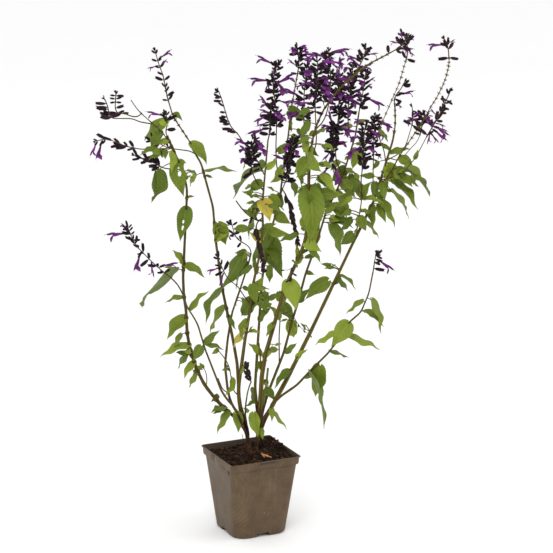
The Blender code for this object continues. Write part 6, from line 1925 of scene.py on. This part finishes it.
def make_stem(name, tubes, feet, crown):
    """A stem and its side shoots; its foot, below where the stems part, belongs to the crown."""
    rind = Bundle()
    parting = tubes[0].parting()
    foot_tone, tip_tone = STEM_TONES[name]
    for number, tube in enumerate(tubes):
        joints = joints_of(tube, feet) if name in KNOTTED else []
        knobs = []
        end = lengths(tube.points)[-1]
        if name in KNOBBLY and number == 0:
            start = lengths(tube.points)[int(np.argmax(tube.pixels[:, 1] < KNOBBLY[name]))]
            knobs = [(at, 2.2 * MM) for at in spaced(start, end, 11 * MM, 8 * MM)]
        if name == "stem_right_leafy" and number in KNOBBLY_SHOOTS:
            knobs = [(at, 2.4 * MM) for at in spaced(0.25 * end, end, 11 * MM, 7 * MM)]
        knots = sorted(joints + [at for at, _ in knobs])
        if number == 0:
            add_stem(crown, tube, (foot_tone, tip_tone), joints, 0.0, parting)
            add_stem(rind, tube, (foot_tone, tip_tone), knots, parting, None, knobs)
        else:
            add_stem(rind, tube, (tip_tone, tip_tone), knots, 0.0, None, knobs, (1.05, 1.05))
    return rind


def make_plant(stems, trunks, spikes, seated, finishes):
    """The crown and every stem, each with its leaf stalks, and the leaves as a piece of their own."""
    grown = seated + small_leaves(stems)
    feet = [leaf[1] for leaf in grown] + [tube.points[0] for tube in spikes.values()]
    crowns = {side: make_trunk(trunk) for side, trunk in trunks.items()}
    stub = place(TWIG_STUB, TWIG_AWAY)
    add_tube(crowns["left"], stub, np.array((0.7, 0.55, 0.6, 0.35)) * MM, 5, 0.5, 0.0)
    dry = dry_bits(stems)
    for name, tubes in stems.items():
        rind = make_stem(name, tubes, feet, crowns[trunk_of(name)])
        slot = {"stem_green_cut": "stem_green", "stem_dead_thin": "stem_dry"}.get(name, "stem_olive")
        mine = [leaf[1:] for leaf in grown if leaf[0] == name]
        for stem_point, foot, tip, _, _ in mine:
            add_stalk(rind, stem_point, foot, unit(tip - foot), float(SEASON.random()))
        if mine:
            make_leaves(name, mine, finishes["leaf"], slot)
        bits = [bit[1:] for bit in dry if bit[0] == name]
        if bits:
            make_husks(name, bits, finishes["dead_calyx"], slot)
        rind.piece(name + "_rind", finishes[slot], slot, (name,), 60)
    for side, crown in crowns.items():
        node = "crown_" + side
        mine = [leaf[1:] for leaf in grown if leaf[0] == node]
        for stem_point, foot, tip, _, _ in mine:
            foot, tip = brought_forward(node, foot, tip)
            add_stalk(crown, stem_point, foot, unit(tip - foot), float(SEASON.random()))
        if mine:
            make_leaves(node, mine, finishes["leaf"], "stem_bark")
        crown.piece(node + "_wood", finishes["crown"], "stem_bark", (node,), 60)


def dry_bits(stems):
    """Each dry bit with the stem nearest its start: a line from inside the stem to its end pixel."""
    found = []
    for sx, sy, ex, ey, count in DRY_BITS:
        node = nearest_stem(stems, (sx, sy))
        tube, index = nearest(stems[node], (sx, sy))
        start = tube.points[index]
        reach = place((ex, ey), start @ LEVEL - 0.008)[0] - start
        end = start + reach * min(1.0, (DRY_REACH if count else STICK_REACH) / np.linalg.norm(reach))
        found.append((node, start, end, count))
    return found


# ---------- spikes ----------
# The share of calyces that have fallen, the mm between whorls of a dead, full or plain spike at its
# foot and of any at its tip, and how long a flower of the thick of the bloom is.
FALLEN = 0.12
DEAD_GAP, FULL_GAP, PLAIN_GAP, TIP_GAP = 6, 8, 14, 5.8
FLOWER_LONG = (0.020, 0.034)


def whorl_calyces(name, whorls, at, points):
    """The calyces of each whorl, as rows of foot, direction, up, size, tint and tone."""
    spike, dead, full = SPIKES[name], "dead" in name, name in FULL
    long, gap, along_stalk = COMBS.get(name, (1.0, None, None))
    loose = along_stalk is None
    rows = []
    for order, where in enumerate(whorls):
        part = (where - whorls[0]) / max(at[-1] - whorls[0], 1e-6)
        count = 2 if gap else int(SEASON.integers(2, 4) + (part > 0.3) + full * SEASON.integers(0, 3))
        centre, up = at_point(where, at, points)
        view = unit(np.cross(up, FORWARD))
        behind = np.cross(view, up)
        start = order * 0.9 + SEASON.uniform(-0.3, 0.3)
        for number in range(count):
            if SEASON.random() < FALLEN:
                continue
            angle = start + number * 2 * math.pi / count + SEASON.uniform(-0.35, 0.35)
            out = view * math.cos(angle) + behind * math.sin(angle)
            if spike["side"]:
                out = unit(RIGHT * spike["side"] + out * 0.55)
                out = unit(out - up * (out @ up))
            if gap and not along_stalk:
                out = RIGHT * (spike["side"] or (-1, 1)[number % 2]) + LEVEL * SEASON.normal() * 0.4
            rise = SEASON.uniform(0.05, 1.0) if loose else along_stalk * SEASON.uniform(0.7, 1.3)
            direction = unit(out + up * rise + SEASON.normal(size=3) * (0.14 if gap else 0.24)
                             - UPRIGHT * (0.30 if loose else 0.1) * (1 - part))
            if dead:
                direction = unit(direction * 0.75 + up)
            size = (0.85 if dead else 1.0) * CALYX_LENGTH * (1.08 - 0.34 * part**2.5) * long
            rows.append((centre, direction, up, size * SEASON.uniform(0.62, 1.18), SEASON.random(),
                         0.5 * SEASON.random() ** 3))
    return rows


def more_flowers(name, start, at, points):
    """The open flowers that only the fine model bears: those of FULL by seed, and those of EXTRA."""
    more = []
    for _ in range(FULL.get(name, 0)):
        foot, up = at_point(at[-1] * SEASON.uniform(max(0.45, start), 0.97), at, points)
        view = unit(np.cross(up, FORWARD))
        angle = SEASON.choice((0.0, math.pi)) + SEASON.normal() * 0.7
        out = view * math.cos(angle) + np.cross(view, up) * math.sin(angle)
        direction = unit(0.8 * out + up * SEASON.uniform(-0.3, 0.6) - LEVEL * SEASON.uniform(0.0, 0.9))
        reach = SEASON.uniform(*FLOWER_LONG)
        tip = foot + direction * reach
        if np.all(tip >= CAD_BOX[0]) and np.all(tip <= CAD_BOX[1]):
            more.append((flower_line(foot, tip, 0.08 * reach), direction))
    for calyx, end in EXTRA.get(name, ()):
        foot = points[np.argmin([np.hypot(*(seen_at(point) - calyx)) for point in points])]
        tip = place(end, foot @ LEVEL - 0.004)[0]
        more.append((flower_line(foot, tip, MM), unit(tip - foot)))
    return more


def make_spike(name, tube, flowers, finishes):
    """One spike: its stalk, whorls of calyces closer and fuller to its tip, and its open flowers."""
    dead = "dead" in name
    start = SPIKES[name]["start"]
    green, bells = Bundle(), Bundle()
    at, points, radii = eased(tube, 0.005, 0.003)
    points[0] -= unit(points[1] - points[0]) * 2.2 * MM
    gap = COMBS.get(name, (1.0, None))[1]
    first_gap = gap or (DEAD_GAP if dead else FULL_GAP if name in FULL else PLAIN_GAP)
    whorls = spaced(start * at[-1], at[-1] - 2 * MM, first_gap * MM, (gap or TIP_GAP) * MM, 0.38)
    radii = swollen(at, radii, whorls, 0.45, 0.0015)
    add_tube(green, points, radii * 1.05, 6, float(SEASON.random()), float(SEASON.uniform(0, 0.35)))
    rows = whorl_calyces(name, whorls, at, points)
    ahead = tangents(points)[-1]
    for number in range(3):
        rows.append((points[-1] - ahead * (2 - number) * 1.2 * MM,
                     unit(ahead + SEASON.normal(size=3) * 0.3), unit(np.cross(ahead, FORWARD)),
                     CALYX_LENGTH * (0.50 - 0.08 * number), SEASON.random(), 0.2))
    for line, _ in flowers:
        rows.append((line[0], unit(line[2] - line[0]), UPRIGHT, lengths(line)[-1] * 0.36,
                     SEASON.random(), 0.1))
    more = more_flowers(name, start, at, points)
    for line, direction in more:
        rows.append((line[0], direction, UPRIGHT, lengths(line)[-1] * 0.38, SEASON.random(), 0.1))
    add_calyces(bells, *zip(*rows))
    slot = "dead_calyx" if dead else "calyx_purple"
    bells.piece(name + "_calyces", finishes[slot], slot, (name,), 75)
    green.piece(name + "_stalk", finishes["dead_stalk" if dead else "spike_stalk"], slot, (name,), 60)
    if flowers or more:
        petals = Bundle()
        for line, _ in flowers + more:
            add_flower(petals, line, float(SEASON.random()))
        petals.piece(name + "_corollas", finishes["petal"], slot, (name,), 50)


# ---------- the studio ----------
FLOOR_RADIUS = 30.0
FLOOR_SIDES = 48
SENSOR = 36.0

# Each lamp: where it stands, its width and its power; both are turned to the middle of the plant.
LAMPS = {"key_lamp": ((-1.5, -2.2, 2.6), 1.8, 42.0), "side_lamp": ((2.4, -1.2, 1.6), 1.6, 14.0)}
LAMPS_AIM = (0.0, 0.0, 0.35)


def make_studio():
    """A pale floor, soft light from above and both sides, and the camera of the photograph."""
    scene = bpy.context.scene
    ring = round_the(FLOOR_SIDES)
    edge = np.stack((FLOOR_RADIUS * np.cos(ring), FLOOR_RADIUS * np.sin(ring), 0 * ring), -1)
    sheet = bpy.data.meshes.new("studio_floor")
    sheet.from_pydata(edge.tolist(), [], [tuple(range(FLOOR_SIDES))])
    sheet.materials.append(floor_finish())
    floor = bpy.data.objects.new("studio_floor", sheet)
    scene.collection.objects.link(floor)
    world = bpy.data.worlds.new("studio_air")
    world.use_nodes = True
    world.node_tree.nodes["Background"].inputs["Color"].default_value = (1.0, 1.0, 1.0, 1.0)
    world.node_tree.nodes["Background"].inputs["Strength"].default_value = 1.0
    scene.world = world
    scene.view_settings.view_transform = "Standard"
    for label, (where, size, power) in LAMPS.items():
        lamp = bpy.data.lights.new(label, "AREA")
        lamp.size, lamp.energy = size, power
        holder = bpy.data.objects.new(label, lamp)
        back = unit(np.array(where) - LAMPS_AIM)
        beside = unit(np.cross(UPRIGHT, back))
        holder.matrix_world = matrix(beside, np.cross(back, beside), back, where)
        scene.collection.objects.link(holder)
    lens = bpy.data.cameras.new("photo_camera")
    lens.sensor_width = SENSOR
    lens.lens = SENSOR * SIGHT_LENGTH / (2 * SIGHT_CENTRE)
    lens.clip_end = 100.0
    camera = bpy.data.objects.new("photo_camera", lens)
    camera.matrix_world = matrix(RIGHT, UP, -FORWARD, EYE)
    scene.collection.objects.link(camera)
    scene.camera = camera


def matrix(right, up, back, where):
    """The place and turn of a camera or lamp from its three directions."""
    return Matrix([*np.column_stack((right, up, back, where)).tolist(), (0.0, 0.0, 0.0, 1.0)])


def make_everything():
    """The pot, soil, chip, plant and studio, in the order that the seeded draws follow."""
    trunks, stems, spikes, flowers, leaves = lay_out()
    finishes = {
        "leaf": leaf_finish(), "crown": bark_finish(),
        "stem_olive": stem_finish("olive_rind", linear(42, 28, 6), linear(96, 84, 16)),
        "stem_green": stem_finish("green_rind", linear(74, 92, 30), linear(104, 126, 44)),
        "stem_dry": stem_finish("dry_rind", linear(58, 42, 30), linear(96, 82, 60), 0.8),
        "calyx_purple": velvet_finish(
            "calyx_velvet", linear(15, 7, 12), linear(44, 14, 36), linear(46, 25, 38)),
        "dead_calyx": velvet_finish(
            "dry_calyx", linear(26, 18, 18), linear(44, 32, 28), linear(70, 54, 44), 0.9),
        "spike_stalk": stem_finish("mauve_stalk", linear(40, 22, 24), linear(62, 42, 34), 0.7),
        "dead_stalk": stem_finish("dead_stalk", linear(40, 28, 22), linear(60, 46, 36), 0.85),
        "petal": petal_finish(),
    }
    make_pot(plastic_finish())
    make_soil(soil_finish())
    make_chip(chip_finish())
    make_plant(stems, trunks, spikes, leaves, finishes)
    for name, tube in spikes.items():
        make_spike(name, tube, flowers[name], finishes)
    make_studio()


make_everything()
